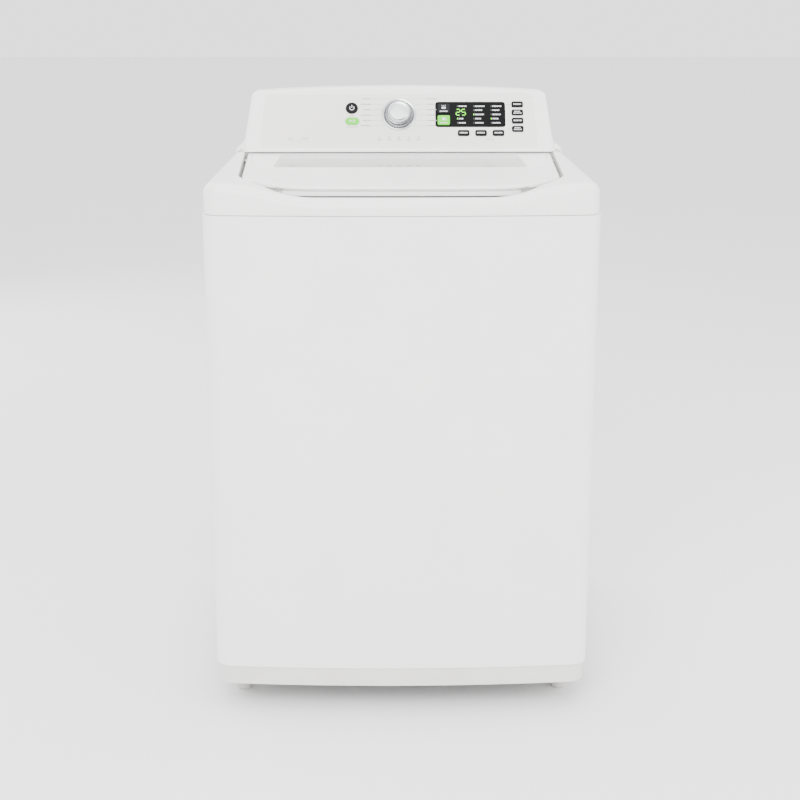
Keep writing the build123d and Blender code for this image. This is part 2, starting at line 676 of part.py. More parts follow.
with BuildPart() as lid_grip_and_strike:
    with BuildSketch(Plane.XY.offset(LINER_Z)):
        add(lid_plan(-GRIP_BACK))
        add(lid_plan(-GRIP_BACK - LINER_WALL), mode=Mode.SUBTRACT)
        with Locations((0, LID_FRONT_Y)):
            Rectangle(2 * GRIP_HALF, LID_CORNER_R, mode=Mode.INTERSECT)
    extrude(amount=LINER_DEPTH - GRIP_ROOT)
    with BuildSketch(Plane.XY.offset(LINER_Z - TAB[2])):
        with Locations(LOCK_XY):
            Rectangle(TAB[0], TAB[1])
    extrude(amount=TAB[2])
lid_grip_and_strike.part.label = "lid_grip_and_strike"
export_step(lid_grip_and_strike.part, "parts/lid_grip_and_strike.step")

with BuildPart() as lid_hinge_pins:
    for side in (-1, 1):
        with BuildSketch(HINGE_PLANE.offset(side * (lid_half(HINGE_Y) - BOSS_IN - BOSS_LENGTH + 1))):
            Circle(HINGE_R)
        extrude(amount=side * (BOSS_LENGTH + BOSS_IN + LID_GAP + COVER_WALL / 2))
lid_hinge_pins.part.label = "lid_hinge_pins"
export_step(lid_hinge_pins.part, "parts/lid_hinge_pins.step")

BUMPER_R = 5.0
BUMPER_GAP = 0.2
bumper_places = [(side * 215.0, FRONT_Y + 88.0) for side in (-1, 1)]

with BuildPart() as lid_bumpers:
    with BuildSketch(Plane.XY.offset(LEDGE_Z)):
        with Locations(*bumper_places):
            Circle(BUMPER_R)
    extrude(amount=LINER_Z - BUMPER_GAP - LEDGE_Z)
lid_bumpers.part.label = "lid_bumpers"
export_step(lid_bumpers.part, "parts/lid_bumpers.step")

LOCK_SIZE = (26.0, 40.0)
LOCK_CLEAR = 3.0

with BuildPart() as lid_lock:
    with BuildSketch(Plane.XY.offset(LEDGE_Z)):
        with Locations(LOCK_XY):
            RectangleRounded(*LOCK_SIZE, 3)
            Rectangle(TAB[0] + 2 * LOCK_CLEAR, TAB[1] + 2 * LOCK_CLEAR, mode=Mode.SUBTRACT)
    extrude(amount=LINER_Z - LOCK_CLEAR - LEDGE_Z)
lid_lock.part.label = "lid_lock"
export_step(lid_lock.part, "parts/lid_lock.step")

# ---------------------------------------------------------------- console
FACE_Y = REAR_Y - CONSOLE_DEPTH
FACE_Z = DECK_Z - CONSOLE_LIP
UP_FACE = (sin(radians(LEAN)), cos(radians(LEAN)))  # the face's direction up its slope, in Y and Z
CONSOLE_HALF = WIDTH / 2 - CONSOLE_SIDE
FASCIA_HALF = CONSOLE_HALF - FASCIA_SIDE
face_plane = Plane(
    origin=(0, FACE_Y + FASCIA_FOOT * UP_FACE[0], FACE_Z + FASCIA_FOOT * UP_FACE[1]),
    x_dir=(1, 0, 0),
    z_dir=(0, -UP_FACE[1], UP_FACE[0]),
)


def console_block(inset):
    """The console's outer form, drawn inset inside its face, sides and top."""
    foot_y = FACE_Y + inset / UP_FACE[1]
    top = HEIGHT - inset
    half = CONSOLE_HALF - inset
    with BuildPart() as block:
        with BuildSketch(Plane.YZ):
            with BuildLine():
                Polyline(
                    (foot_y, FACE_Z),
                    (foot_y + (top - FACE_Z) * UP_FACE[0] / UP_FACE[1], top),
                    (REAR_Y, top),
                    (REAR_Y, FACE_Z),
                    close=True,
                )
            make_face()
        extrude(amount=WIDTH, both=True)
        with BuildSketch(Plane.XZ) as outline:
            with BuildLine():
                Polyline(
                    (-half + CONSOLE_TAPER, top - CROWN),
                    (-half, FACE_Z + FLARE_R),
                    (-half, FACE_Z),
                    (half, FACE_Z),
                    (half, FACE_Z + FLARE_R),
                    (half - CONSOLE_TAPER, top - CROWN),
                )
                ThreePointArc(
                    (half - CONSOLE_TAPER, top - CROWN), (0, top), (-half + CONSOLE_TAPER, top - CROWN)
                )
            make_face()
            fillet(outline.vertices().group_by(Axis.Y)[-1], CONSOLE_CORNER_R)
        extrude(amount=2 * DEPTH, both=True, mode=Mode.INTERSECT)
    return block.part


def fascia_plan(grow):
    """Outline of the fascia on the console's face, grown outwards."""
    low = FASCIA_HALF + grow
    high = FASCIA_HALF - FASCIA_TAPER + grow
    with BuildSketch(Plane.XY) as plan:
        with BuildLine():
            Polyline(
                (-low, -grow),
                (low, -grow),
                (high, FASCIA_LENGTH + grow),
                (-high, FASCIA_LENGTH + grow),
                close=True,
            )
        make_face()
        fillet(plan.vertices(), max(FASCIA_R + grow, INNER_R / 2))
    return plan.sketch_local


with BuildPart() as console_shell:
    add(console_block(0))
    face_edges = [
        e
        for e in console_shell.edges()
        if abs((e.center() - face_plane.origin).dot(face_plane.z_dir)) < 0.5 and e.center().Z > FACE_Z + 1
    ]
    fillet(face_edges, CONSOLE_FACE_R)
    with BuildSketch(Plane.XZ.offset(-FACE_Y - CONSOLE_FACE_R)):
        for side in (-1, 1):
            with BuildLine():
                foot = (side * (CONSOLE_HALF + FLARE_R), FACE_Z)
                top = (side * CONSOLE_HALF, FACE_Z + FLARE_R)
                Line(foot, (side * (CONSOLE_HALF - 1), FACE_Z))
                Line((side * (CONSOLE_HALF - 1), FACE_Z), (side * (CONSOLE_HALF - 1), FACE_Z + FLARE_R))
                Line((side * (CONSOLE_HALF - 1), FACE_Z + FLARE_R), top)
                RadiusArc(top, foot, side * FLARE_R)
            make_face()
    extrude(amount=-(CONSOLE_DEPTH - CONSOLE_FACE_R))
    add(console_block(CONSOLE_WALL), mode=Mode.SUBTRACT)
    with BuildSketch(face_plane.offset(FASCIA_PROUD - FASCIA_PLATE)):
        add(fascia_plan(0))
    extrude(amount=2 * FASCIA_PLATE, mode=Mode.SUBTRACT)
    with BuildSketch(face_plane.offset(-2 * CONSOLE_WALL)):
        add(fascia_plan(-FASCIA_LEDGE))
    extrude(amount=3 * CONSOLE_WALL, mode=Mode.SUBTRACT)
    add(cover_block(0), mode=Mode.SUBTRACT)
console_shell.part.label = "console_shell"
export_step(console_shell.part, "parts/console_shell.step")

BACK_GAP = 2.0  # console back to the deck and to the console's top wall
back_top = HEIGHT - CROWN - CONSOLE_WALL
back_width = 2 * (CONSOLE_HALF - CONSOLE_TAPER - 2 * CONSOLE_WALL)

with BuildPart() as console_back:
    with BuildSketch(CABINET_REAR_FACE):
        with Locations((0, (DECK_Z + back_top) / 2)):
            RectangleRounded(back_width, back_top - DECK_Z - 2 * BACK_GAP, 4 * BACK_GAP)
    extrude(amount=CONSOLE_WALL)
console_back.part.label = "console_back"
export_step(console_back.part, "parts/console_back.step")

# ---------------------------------------------------------------- controls
DISPLAY_UV = (FASCIA_HALF - FASCIA_TAPER - DISPLAY_EDGE - DISPLAY_SIZE[0] / 2, DISPLAY_V)
SETTING_U = FASCIA_HALF - SETTING_KEY_EDGE
mode_key_u = DISPLAY_UV[0] - DISPLAY_SIZE[0] / 2 + MODE_KEY_U
option_key_u = [DISPLAY_UV[0] + OPTION_KEY_STEP * k - OPTION_KEY_SHIFT for k in range(3)]

# each key: name, place on the fascia, size, corner radius
mode_keys = [
    ("mode_key_upper", (mode_key_u, DISPLAY_V + MODE_KEY_V[0]), MODE_KEY_SIZE, KEY_R),
    ("mode_key_lower", (mode_key_u, DISPLAY_V + MODE_KEY_V[1]), MODE_KEY_SIZE, KEY_R),
]
fascia_keys = [
    ("power_button", POWER_UV, (2 * POWER_R, 2 * POWER_R), POWER_R - 0.01),
    ("start_button", START_UV, START_SIZE, START_SIZE[1] / 2 - 0.01),
]
for k in range(3):
    fascia_keys.append((f"option_key_{k + 1}", (option_key_u[k], OPTION_KEY_V), OPTION_KEY_SIZE, KEY_R))
for k in range(4):
    place = (SETTING_U, SETTING_KEY_V - k * SETTING_KEY_STEP)
    fascia_keys.append((f"setting_key_{k + 1}", place, OPTION_KEY_SIZE, KEY_R))
all_keys = fascia_keys + mode_keys

FASCIA_BACK = FASCIA_PROUD - FASCIA_PLATE  # fascia's rear face, from the plane of the console's face
KEY_REST = 0.15  # gap between a key's flange and the back of the fascia
POST_R = 3.0
KNOB_HOLE_R = 5.0
SWITCH_SIZE = (6.0, 2.4)
PLUNGER_R = 1.6
PLUNGER_GAP = 0.1
BOARD_LOW = 14.0
BOARD_HIGH = 112.0
BOARD_LEFT = POWER_UV[0] - 21.0
BOARD_RIGHT = SETTING_U + 24.0
post_places = [
    (BOARD_LEFT + 6, BOARD_LOW + 6),
    (BOARD_LEFT + 6, BOARD_HIGH - 6),
    (60.0, BOARD_LOW + 6),
    (60.0, BOARD_HIGH - 6),
    (BOARD_RIGHT - 6, BOARD_LOW + 6),
    (SETTING_U - 17.5, BOARD_HIGH - 4),
]

with BuildPart() as control_fascia:
    with BuildSketch(face_plane.offset(FASCIA_BACK)):
        add(fascia_plan(-0.1))
        for _, place, (key_w, key_h), key_r in fascia_keys:
            with Locations(place):
                RectangleRounded(
                    key_w + 2 * KEY_FIT, key_h + 2 * KEY_FIT, key_r + KEY_FIT, mode=Mode.SUBTRACT
                )
        with Locations(DISPLAY_UV):
            RectangleRounded(*DISPLAY_SIZE, DISPLAY_R, mode=Mode.SUBTRACT)
        with Locations((0, KNOB_V)):
            Circle(KNOB_HOLE_R, mode=Mode.SUBTRACT)
    extrude(amount=FASCIA_PLATE)
    with BuildSketch(face_plane.offset(FASCIA_BACK)):
        with Locations(*post_places):
            Circle(POST_R)
    extrude(amount=-(BOARD_BACK + FASCIA_BACK))
control_fascia.part.label = "control_fascia"
export_step(control_fascia.part, "parts/control_fascia.step")

with BuildPart() as display_window:
    with BuildSketch(face_plane.offset(FASCIA_BACK)):
        with Locations(DISPLAY_UV):
            RectangleRounded(*DISPLAY_SIZE, DISPLAY_R)
        for _, place, (key_w, key_h), key_r in mode_keys:
            with Locations(place):
                RectangleRounded(
                    key_w + 2 * KEY_FIT, key_h + 2 * KEY_FIT, key_r + KEY_FIT, mode=Mode.SUBTRACT
                )
    extrude(amount=FASCIA_PLATE)
display_window.part.label = "display_window"
export_step(display_window.part, "parts/display_window.step")

for key_name, place, (key_w, key_h), key_r in all_keys:
    flange_top = FASCIA_BACK - KEY_REST
    with BuildPart() as key:
        with BuildSketch(face_plane.offset(flange_top - KEY_FLANGE_PLATE)):
            with Locations(place):
                RectangleRounded(key_w + 2 * KEY_FLANGE, key_h + 2 * KEY_FLANGE, key_r + KEY_FLANGE)
        extrude(amount=KEY_FLANGE_PLATE)
        with BuildSketch(face_plane.offset(flange_top)):
            with Locations(place):
                RectangleRounded(key_w, key_h, key_r)
        extrude(amount=KEY_PROUD + FASCIA_PROUD - flange_top)
        fillet(key.faces().sort_by(Axis(face_plane.origin, face_plane.z_dir))[-1].edges(), KEY_ROUND)
        with BuildSketch(face_plane.offset(flange_top - KEY_FLANGE_PLATE)):
            with Locations(place):
                Circle(PLUNGER_R)
        plunger_tip = SWITCH_SIZE[1] - BOARD_BACK + KEY_TRAVEL + PLUNGER_GAP
        extrude(amount=-(flange_top - KEY_FLANGE_PLATE - plunger_tip))
    key.part.label = key_name
    export_step(key.part, f"parts/{key_name}.step")

CHIP_HEIGHT = 3.0
RELAY = (24.0, 18.0, 14.0)
ENCODER = (14.0, 6.5)

with BuildPart() as control_board:
    with BuildSketch(face_plane.offset(-BOARD_BACK)):
        with Locations(((BOARD_LEFT + BOARD_RIGHT) / 2, (BOARD_LOW + BOARD_HIGH) / 2)):
            Rectangle(BOARD_RIGHT - BOARD_LEFT, BOARD_HIGH - BOARD_LOW)
    extrude(amount=-BOARD)
    with BuildSketch(face_plane.offset(-BOARD_BACK)):
        with Locations(*[place for _, place, _, _ in all_keys]):
            Rectangle(SWITCH_SIZE[0], SWITCH_SIZE[0])
    extrude(amount=SWITCH_SIZE[1])
    with BuildSketch(face_plane.offset(-BOARD_BACK - BOARD)):
        with Locations((30, 60), (90, 70), (150, 50)):
            Rectangle(RELAY[0], RELAY[1])
    extrude(amount=-RELAY[2])
    with BuildSketch(face_plane.offset(-BOARD_BACK - BOARD)):
        with Locations((-60, 50), (-20, 50), (200, 60)):
            Rectangle(RELAY[1], RELAY[1])
    extrude(amount=-CHIP_HEIGHT)
    with BuildSketch(face_plane.offset(-BOARD_BACK)):
        with Locations((0, KNOB_V)):
            Rectangle(ENCODER[0], ENCODER[0])
            Circle(KNOB_SHAFT_R + SHAFT_FIT, mode=Mode.SUBTRACT)
    extrude(amount=ENCODER[1])
control_board.part.label = "control_board"
export_step(control_board.part, "parts/control_board.step")

with BuildPart() as knob_bezel:
    with BuildSketch(face_plane.offset(FASCIA_PROUD)):
        with Locations((0, KNOB_V)):
            Circle(BEZEL_R)
            Circle(BEZEL_BORE_R, mode=Mode.SUBTRACT)
    extrude(amount=BEZEL_PLATE)
    bezel_front = knob_bezel.faces().sort_by(Axis(face_plane.origin, face_plane.z_dir))[-1]
    fillet(bezel_front.outer_wire().edges(), BEZEL_ROUND)
knob_bezel.part.label = "knob_bezel"
export_step(knob_bezel.part, "parts/knob_bezel.step")

KNOB_FOOT = 1.0  # skirt's lower face above the fascia
FLUTE_R = 1.3
CAP_EDGE_R = 3.5

with BuildPart() as knob_skirt:
    with BuildSketch(face_plane.offset(FASCIA_PROUD + KNOB_FOOT)):
        with Locations((0, KNOB_V)):
            Circle(SKIRT_R)
            with PolarLocations(SKIRT_R, SKIRT_FLUTES):
                Circle(FLUTE_R, mode=Mode.SUBTRACT)
    extrude(amount=SKIRT_HEIGHT)
    with BuildSketch(face_plane.offset(FASCIA_PROUD + KNOB_FOOT)):
        with Locations((0, KNOB_V)):
            Circle(KNOB_SHAFT_R)
    extrude(amount=-(BOARD_BACK - 1.5 + FASCIA_PROUD + KNOB_FOOT))
knob_skirt.part.label = "knob_skirt"
export_step(knob_skirt.part, "parts/knob_skirt.step")

with BuildPart() as knob_cap:
    with BuildSketch(face_plane.offset(FASCIA_PROUD + KNOB_FOOT + SKIRT_HEIGHT)):
        with Locations((0, KNOB_V)):
            Circle(CAP_R)
    extrude(amount=CAP_HEIGHT)
    cap_top = [
        e
        for e in knob_cap.edges().filter_by(GeomType.CIRCLE)
        if (e @ 0 - face_plane.origin).dot(face_plane.z_dir) > KNOB_FOOT + SKIRT_HEIGHT + CAP_HEIGHT / 2
    ]
    fillet(cap_top, CAP_EDGE_R)
knob_cap.part.label = "knob_cap"
export_step(knob_cap.part, "parts/knob_cap.step")

# ---------------------------------------------------------------- water and power inlets
VALVE_SIZE = (116.0, 44.0, 40.0)
PORT_FLANGE = 5.0
SPOUT_SIZE = (50.0, 12.0)
SPOUT_WALL = 2.0
SPOUT_GAP = 7.0  # spout's top under the top cover
SPOUT_REACH = 64.0  # how far the spout reaches forward of the lid's back edge
GLAND_FLANGE_R = 13.0
GLAND_FLANGE = 4.0
GLAND_NUT = 8.0
CORD_BORE_R = 4.2

valve_back = REAR_Y - PORT_FLANGE

with BuildPart() as inlet_valve:
    with BuildSketch(Plane.XZ.offset(-valve_back)):
        with Locations((VALVE_X, VALVE_Z)):
            RectangleRounded(VALVE_SIZE[0], VALVE_SIZE[2], 6)
    extrude(amount=VALVE_SIZE[1])
    with BuildSketch(Plane.XZ.offset(-valve_back)):
        with Locations(*port_places):
            Circle(PORT_FLANGE_R)
    extrude(amount=-(PORT_FLANGE + SHEET))
    with BuildSketch(Plane.XZ.offset(-valve_back)):
        with Locations(*port_places):
            Circle(PORT_R)
    extrude(amount=-(DEPTH / 2 - valve_back))
    with BuildSketch(Plane.XZ.offset(-DEPTH / 2)):
        with Locations(*port_places):
            Circle(PORT_BORE_R)
    extrude(amount=PORT_REACH + PORT_FLANGE + SHEET, mode=Mode.SUBTRACT)
inlet_valve.part.label = "inlet_valve"
export_step(inlet_valve.part, "parts/inlet_valve.step")

SPOUT_Z = COVER_BOTTOM - SPOUT_GAP - SPOUT_SIZE[1]
spout_front = LID_REAR_Y - SPOUT_REACH
spout_back = valve_back - VALVE_SIZE[1] / 2

with BuildPart() as water_spout:
    with BuildSketch(Plane.XZ.offset(-spout_front)):
        with Locations((VALVE_X, SPOUT_Z + SPOUT_SIZE[1] / 2)):
            RectangleRounded(*SPOUT_SIZE, 3)
    extrude(amount=-(spout_back - spout_front))
    with BuildSketch(Plane.XZ.offset(-spout_front)):
        with Locations((VALVE_X, SPOUT_Z + SPOUT_SIZE[1] / 2)):
            RectangleRounded(SPOUT_SIZE[0] - 2 * SPOUT_WALL, SPOUT_SIZE[1] - 2 * SPOUT_WALL, 2)
    extrude(amount=-(spout_back - spout_front - SPOUT_WALL), mode=Mode.SUBTRACT)
    with BuildSketch(Plane.XY.offset(VALVE_Z + VALVE_SIZE[2] / 2)):
        with Locations((VALVE_X, spout_back - SPOUT_SIZE[1])):
            RectangleRounded(SPOUT_SIZE[0], 2 * SPOUT_SIZE[1], 3)
    extrude(amount=SPOUT_Z - VALVE_Z - VALVE_SIZE[2] / 2 + SPOUT_WALL / 2)
water_spout.part.label = "water_spout"
export_step(water_spout.part, "parts/water_spout.step")

SWITCH_R = 24.0
SWITCH_DEPTH = 26.0
SWITCH_X = 215.0
SWITCH_Z = VALVE_Z - SWITCH_R

with BuildPart() as pressure_switch:
    with BuildSketch(CABINET_REAR_FACE):
        with Locations((SWITCH_X, SWITCH_Z)):
            Circle(SWITCH_R)
    extrude(amount=SWITCH_DEPTH)
    with BuildSketch(CABINET_REAR_FACE.offset(SWITCH_DEPTH)):
        with Locations((SWITCH_X, SWITCH_Z)):
            Circle(SWITCH_R / 6)
    extrude(amount=SWITCH_DEPTH / 2)
pressure_switch.part.label = "pressure_switch"
export_step(pressure_switch.part, "parts/pressure_switch.step")

with BuildPart() as cord_gland:
    with BuildSketch(REAR_FACE):
        with Locations(GLAND_XZ):
            Circle(GLAND_FLANGE_R)
    extrude(amount=-GLAND_FLANGE)
    with BuildSketch(REAR_FACE):
        with Locations(GLAND_XZ):
            Circle(GLAND_R)
    extrude(amount=SHEET)
    with BuildSketch(CABINET_REAR_FACE):
        with Locations(GLAND_XZ):
            RegularPolygon(GLAND_FLANGE_R, 6)
    extrude(amount=GLAND_NUT)
    with BuildSketch(REAR_FACE.offset(-GLAND_FLANGE)):
        with Locations(GLAND_XZ):
            Circle(CORD_BORE_R)
    extrude(amount=GLAND_FLANGE + SHEET + GLAND_NUT, mode=Mode.SUBTRACT)
cord_gland.part.label = "cord_gland"
export_step(cord_gland.part, "parts/cord_gland.step")

# ---------------------------------------------------------------- suspension
BRACKET = 3.0
BRACKET_DROP = 30.0  # bracket's upper face under the cabinet top
BRACKET_LAP = 22.0  # bracket beyond the rod
ROD_HEAD_R = 9.0
ROD_HEAD = 7.0
ROD_TAIL = 3.0
LUG_HOLE_R = 6.0
LUG_R = 15.0
LUG_ROOT_R = 22.0

rod_places = [
    (sx * (WIDTH / 2 - ROD_IN), y) for y in (FRONT_Y + BOW + ROD_IN, REAR_Y - ROD_IN) for sx in (-1, 1)
]
BRACKET_Z = CABINET_TOP - BRACKET_DROP
LUG_Z = TUB_FLOOR - TUB_BASE
CUP_Z = LUG_Z - SPRING_LENGTH - ROD_CUP

with BuildPart() as corner_brackets:
    with BuildSketch(Plane.XY.offset(BRACKET_Z)):
        add(cabinet_plan(SHEET))
        Rectangle(2 * (WIDTH / 2 - ROD_IN - BRACKET_LAP), 2 * DEPTH, mode=Mode.SUBTRACT)
        with Locations((0, (rod_places[0][1] + rod_places[2][1]) / 2)):
            Rectangle(WIDTH, rod_places[2][1] - rod_places[0][1] - 2 * BRACKET_LAP, mode=Mode.SUBTRACT)
        with Locations(*rod_places):
            Circle(ROD_R, mode=Mode.SUBTRACT)
    extrude(amount=-BRACKET)
corner_brackets.part.label = "corner_brackets"
export_step(corner_brackets.part, "parts/corner_brackets.step")

with BuildPart() as suspension_rods:
    for low, height, radius in (
        (CUP_Z - ROD_TAIL, BRACKET_Z - CUP_Z + ROD_TAIL, ROD_R),
        (CUP_Z, ROD_CUP, ROD_CUP_R),
        (BRACKET_Z, ROD_HEAD, ROD_HEAD_R),
    ):
        with BuildSketch(Plane.XY.offset(low)):
            with Locations(*rod_places):
                Circle(radius)
        extrude(amount=height)
suspension_rods.part.label = "suspension_rods"
export_step(suspension_rods.part, "parts/suspension_rods.step")

with BuildPart() as suspension_springs:
    with BuildSketch(Plane.XY.offset(CUP_Z + ROD_CUP)):
        with Locations(*rod_places):
            Circle(SPRING_R + SPRING_WIRE_R)
            Circle(SPRING_R - SPRING_WIRE_R, mode=Mode.SUBTRACT)
    extrude(amount=SPRING_LENGTH)
suspension_springs.part.label = "suspension_springs"
export_step(suspension_springs.part, "parts/suspension_springs.step")

# ---------------------------------------------------------------- tub, basket and drive
TUB_BORE = SPIN_TUBE_R + 2.0
tub_spots = {}
for place in rod_places:
    reach = sqrt(place[0] ** 2 + (place[1] - TUB_Y) ** 2)
    share = (TUB_R - LUG_ROOT_R) / reach
    tub_spots[place] = (place[0] * share, TUB_Y + (place[1] - TUB_Y) * share)

with BuildPart() as outer_tub:
    with BuildSketch(Plane.XY.offset(LUG_Z)):
        with Locations((0, TUB_Y)):
            Circle(TUB_R)
    extrude(amount=TUB_TOP - LUG_Z)
    for place in rod_places:
        with BuildSketch(Plane.XY.offset(LUG_Z)):
            with Locations(place):
                Circle(LUG_R)
            with Locations(tub_spots[place]):
                Circle(LUG_ROOT_R)
            make_hull()
            with Locations(place):
                Circle(LUG_HOLE_R, mode=Mode.SUBTRACT)
        extrude(amount=LUG)
    with BuildSketch(Plane.XY.offset(TUB_FLOOR)):
        with Locations((0, TUB_Y)):
            Circle(TUB_R - TUB_WALL)
    extrude(amount=TUB_TOP - TUB_FLOOR, mode=Mode.SUBTRACT)
    with BuildSketch(Plane.XY.offset(LUG_Z)):
        with Locations((0, TUB_Y)):
            Circle(TUB_BORE)
    extrude(amount=TUB_BASE, mode=Mode.SUBTRACT)
outer_tub.part.label = "outer_tub"
export_step(outer_tub.part, "parts/outer_tub.step")

with BuildPart() as tub_ring:
    with BuildSketch(Plane.XY.offset(TUB_TOP)):
        with Locations((0, TUB_Y)):
            Circle(TUB_R)
            Circle(TUB_R - TUB_RING_LIP, mode=Mode.SUBTRACT)
    extrude(amount=TUB_RING)
    fillet(tub_ring.edges().group_by(Axis.Z)[-1], 3.0)
tub_ring.part.label = "tub_ring"
export_step(tub_ring.part, "parts/tub_ring.step")

BASKET_R = TUB_R - BASKET_GAP
BASKET_FLOOR = TUB_FLOOR + BASKET_RAISE
BASKET_TOP = TUB_TOP - BASKET_DROP

with BuildPart() as basket:
    with BuildSketch(Plane.XY.offset(BASKET_FLOOR)):
        with Locations((0, TUB_Y)):
            Circle(BASKET_R)
    extrude(amount=BASKET_TOP - BASKET_FLOOR)
    with BuildSketch(Plane.XY.offset(BASKET_FLOOR + BASKET_WALL)):
        with Locations((0, TUB_Y)):
            Circle(BASKET_R - BASKET_WALL)
    extrude(amount=BASKET_TOP - BASKET_FLOOR, mode=Mode.SUBTRACT)
    with BuildSketch(Plane.XY.offset(BASKET_FLOOR)):
        with Locations((0, TUB_Y)):
            Circle(SHAFT_R + 1.0)
    extrude(amount=BASKET_WALL, mode=Mode.SUBTRACT)
basket.part.label = "basket"
export_step(basket.part, "parts/basket.step")

with BuildPart() as balance_ring:
    with BuildSketch(Plane.XY.offset(BASKET_TOP)):
        with Locations((0, TUB_Y)):
            Circle(BASKET_R + BALANCE_STEP)
            Circle(BASKET_R + BALANCE_STEP - BALANCE_WIDTH, mode=Mode.SUBTRACT)
    extrude(amount=BALANCE_RING)
    fillet(balance_ring.edges().group_by(Axis.Z)[-1], 6.0)
balance_ring.part.label = "balance_ring"
export_step(balance_ring.part, "parts/balance_ring.step")

GEARCASE_Z = LUG_Z - GEARCASE_HEIGHT
TUBE_TAIL = 5.0
SHAFT_TAIL = 6.0
PULLEY_Z = GEARCASE_Z - PULLEY_DROP - PULLEY_WIDTH
PLATE_Z = BASKET_FLOOR + BASKET_WALL + PLATE_CLEAR

with BuildPart() as basket_hub:
    with BuildSketch(Plane.XY.offset(BASKET_FLOOR - HUB_PLATE)):
        with Locations((0, TUB_Y)):
            Circle(HUB_PLATE_R)
    extrude(amount=HUB_PLATE)
    with BuildSketch(Plane.XY.offset(GEARCASE_Z - TUBE_TAIL)):
        with Locations((0, TUB_Y)):
            Circle(SPIN_TUBE_R)
    extrude(amount=BASKET_FLOOR - HUB_PLATE - GEARCASE_Z + TUBE_TAIL)
    with BuildSketch(Plane.XY.offset(GEARCASE_Z - TUBE_TAIL)):
        with Locations((0, TUB_Y)):
            Circle(SHAFT_R + SHAFT_FIT)
    extrude(amount=BASKET_FLOOR - GEARCASE_Z + TUBE_TAIL, mode=Mode.SUBTRACT)
basket_hub.part.label = "basket_hub"
export_step(basket_hub.part, "parts/basket_hub.step")

VANE_WIDTH = 14.0
VANE_FROM = 66.0
VANE_TO = 192.0

with BuildPart() as wash_plate:
    with BuildSketch(Plane.XY.offset(PLATE_Z)):
        with Locations((0, TUB_Y)):
            Circle(PLATE_R)
    extrude(amount=PLATE_HEIGHT)
    fillet(wash_plate.edges().group_by(Axis.Z)[-1], 5.0)
    with BuildSketch(Plane.XY.offset(PLATE_Z + PLATE_HEIGHT)):
        with Locations((0, TUB_Y)):
            Circle(PLATE_DOME_R)
    extrude(amount=PLATE_DOME)
    fillet(wash_plate.edges().group_by(Axis.Z)[-1], PLATE_DOME / 2)
    with BuildSketch(Plane.XY.offset(PLATE_Z + PLATE_HEIGHT)):
        with Locations((0, TUB_Y)):
            with PolarLocations((VANE_FROM + VANE_TO) / 2, VANES):
                SlotOverall(VANE_TO - VANE_FROM, VANE_WIDTH)
    extrude(amount=VANE_HEIGHT, taper=8)
    with BuildSketch(Plane.XY.offset(PLATE_Z)):
        with Locations((0, TUB_Y)):
            Circle(SHAFT_R)
    extrude(amount=PLATE_HEIGHT + PLATE_DOME / 2, mode=Mode.SUBTRACT)
wash_plate.part.label = "wash_plate"
export_step(wash_plate.part, "parts/wash_plate.step")

with BuildPart() as drive_shaft:
    with BuildSketch(Plane.XY.offset(PULLEY_Z - SHAFT_TAIL)):
        with Locations((0, TUB_Y)):
            Circle(SHAFT_R)
    extrude(amount=PLATE_Z + PLATE_HEIGHT + PLATE_DOME / 2 - PULLEY_Z + SHAFT_TAIL)
drive_shaft.part.label = "drive_shaft"
export_step(drive_shaft.part, "parts/drive_shaft.step")

with BuildPart() as gearcase:
    with BuildSketch(Plane.XY.offset(GEARCASE_Z)):
        with Locations((0, TUB_Y)):
            Circle(GEARCASE_R)
            Circle(BEARING_R, mode=Mode.SUBTRACT)
    extrude(amount=GEARCASE_HEIGHT)
    fillet(gearcase.edges().group_by(Axis.Z)[0].filter_by(lambda e: e.radius > BEARING_R + 1), 8.0)
gearcase.part.label = "gearcase"
export_step(gearcase.part, "parts/gearcase.step")

with BuildPart() as bearings:
    for low in (GEARCASE_Z, LUG_Z - BEARING_WIDTH):
        with BuildSketch(Plane.XY.offset(low)):
            with Locations((0, TUB_Y)):
                Circle(BEARING_R)
                Circle(SPIN_TUBE_R + SHAFT_FIT, mode=Mode.SUBTRACT)
        extrude(amount=BEARING_WIDTH)
bearings.part.label = "bearings"
export_step(bearings.part, "parts/bearings.step")

MOTOR_SHAFT_R = 6.0
MOTOR_SHAFT_IN = 10.0

with BuildPart() as motor:
    with BuildSketch(Plane.XY.offset(LUG_Z - MOTOR_HEIGHT)):
        with Locations((MOTOR_X, TUB_Y)):
            Circle(MOTOR_R)
    extrude(amount=MOTOR_HEIGHT)
    fillet(motor.edges().group_by(Axis.Z)[0], 8.0)
    with BuildSketch(Plane.XY.offset(LUG_Z - MOTOR_HEIGHT)):
        with Locations((MOTOR_X, TUB_Y)):
            Circle(MOTOR_SHAFT_R + SHAFT_FIT)
    extrude(amount=MOTOR_SHAFT_IN + 1, mode=Mode.SUBTRACT)
motor.part.label = "motor"
export_step(motor.part, "parts/motor.step")

with BuildPart() as motor_pulley:
    with BuildSketch(Plane.XY.offset(PULLEY_Z)):
        with Locations((MOTOR_X, TUB_Y)):
            Circle(MOTOR_PULLEY_R)
    extrude(amount=PULLEY_WIDTH)
    with BuildSketch(Plane.XY.offset(PULLEY_Z)):
        with Locations((MOTOR_X, TUB_Y)):
            Circle(MOTOR_SHAFT_R)
    extrude(amount=LUG_Z - MOTOR_HEIGHT - PULLEY_Z + MOTOR_SHAFT_IN)
motor_pulley.part.label = "motor_pulley"
export_step(motor_pulley.part, "parts/motor_pulley.step")

SPOKES = 5

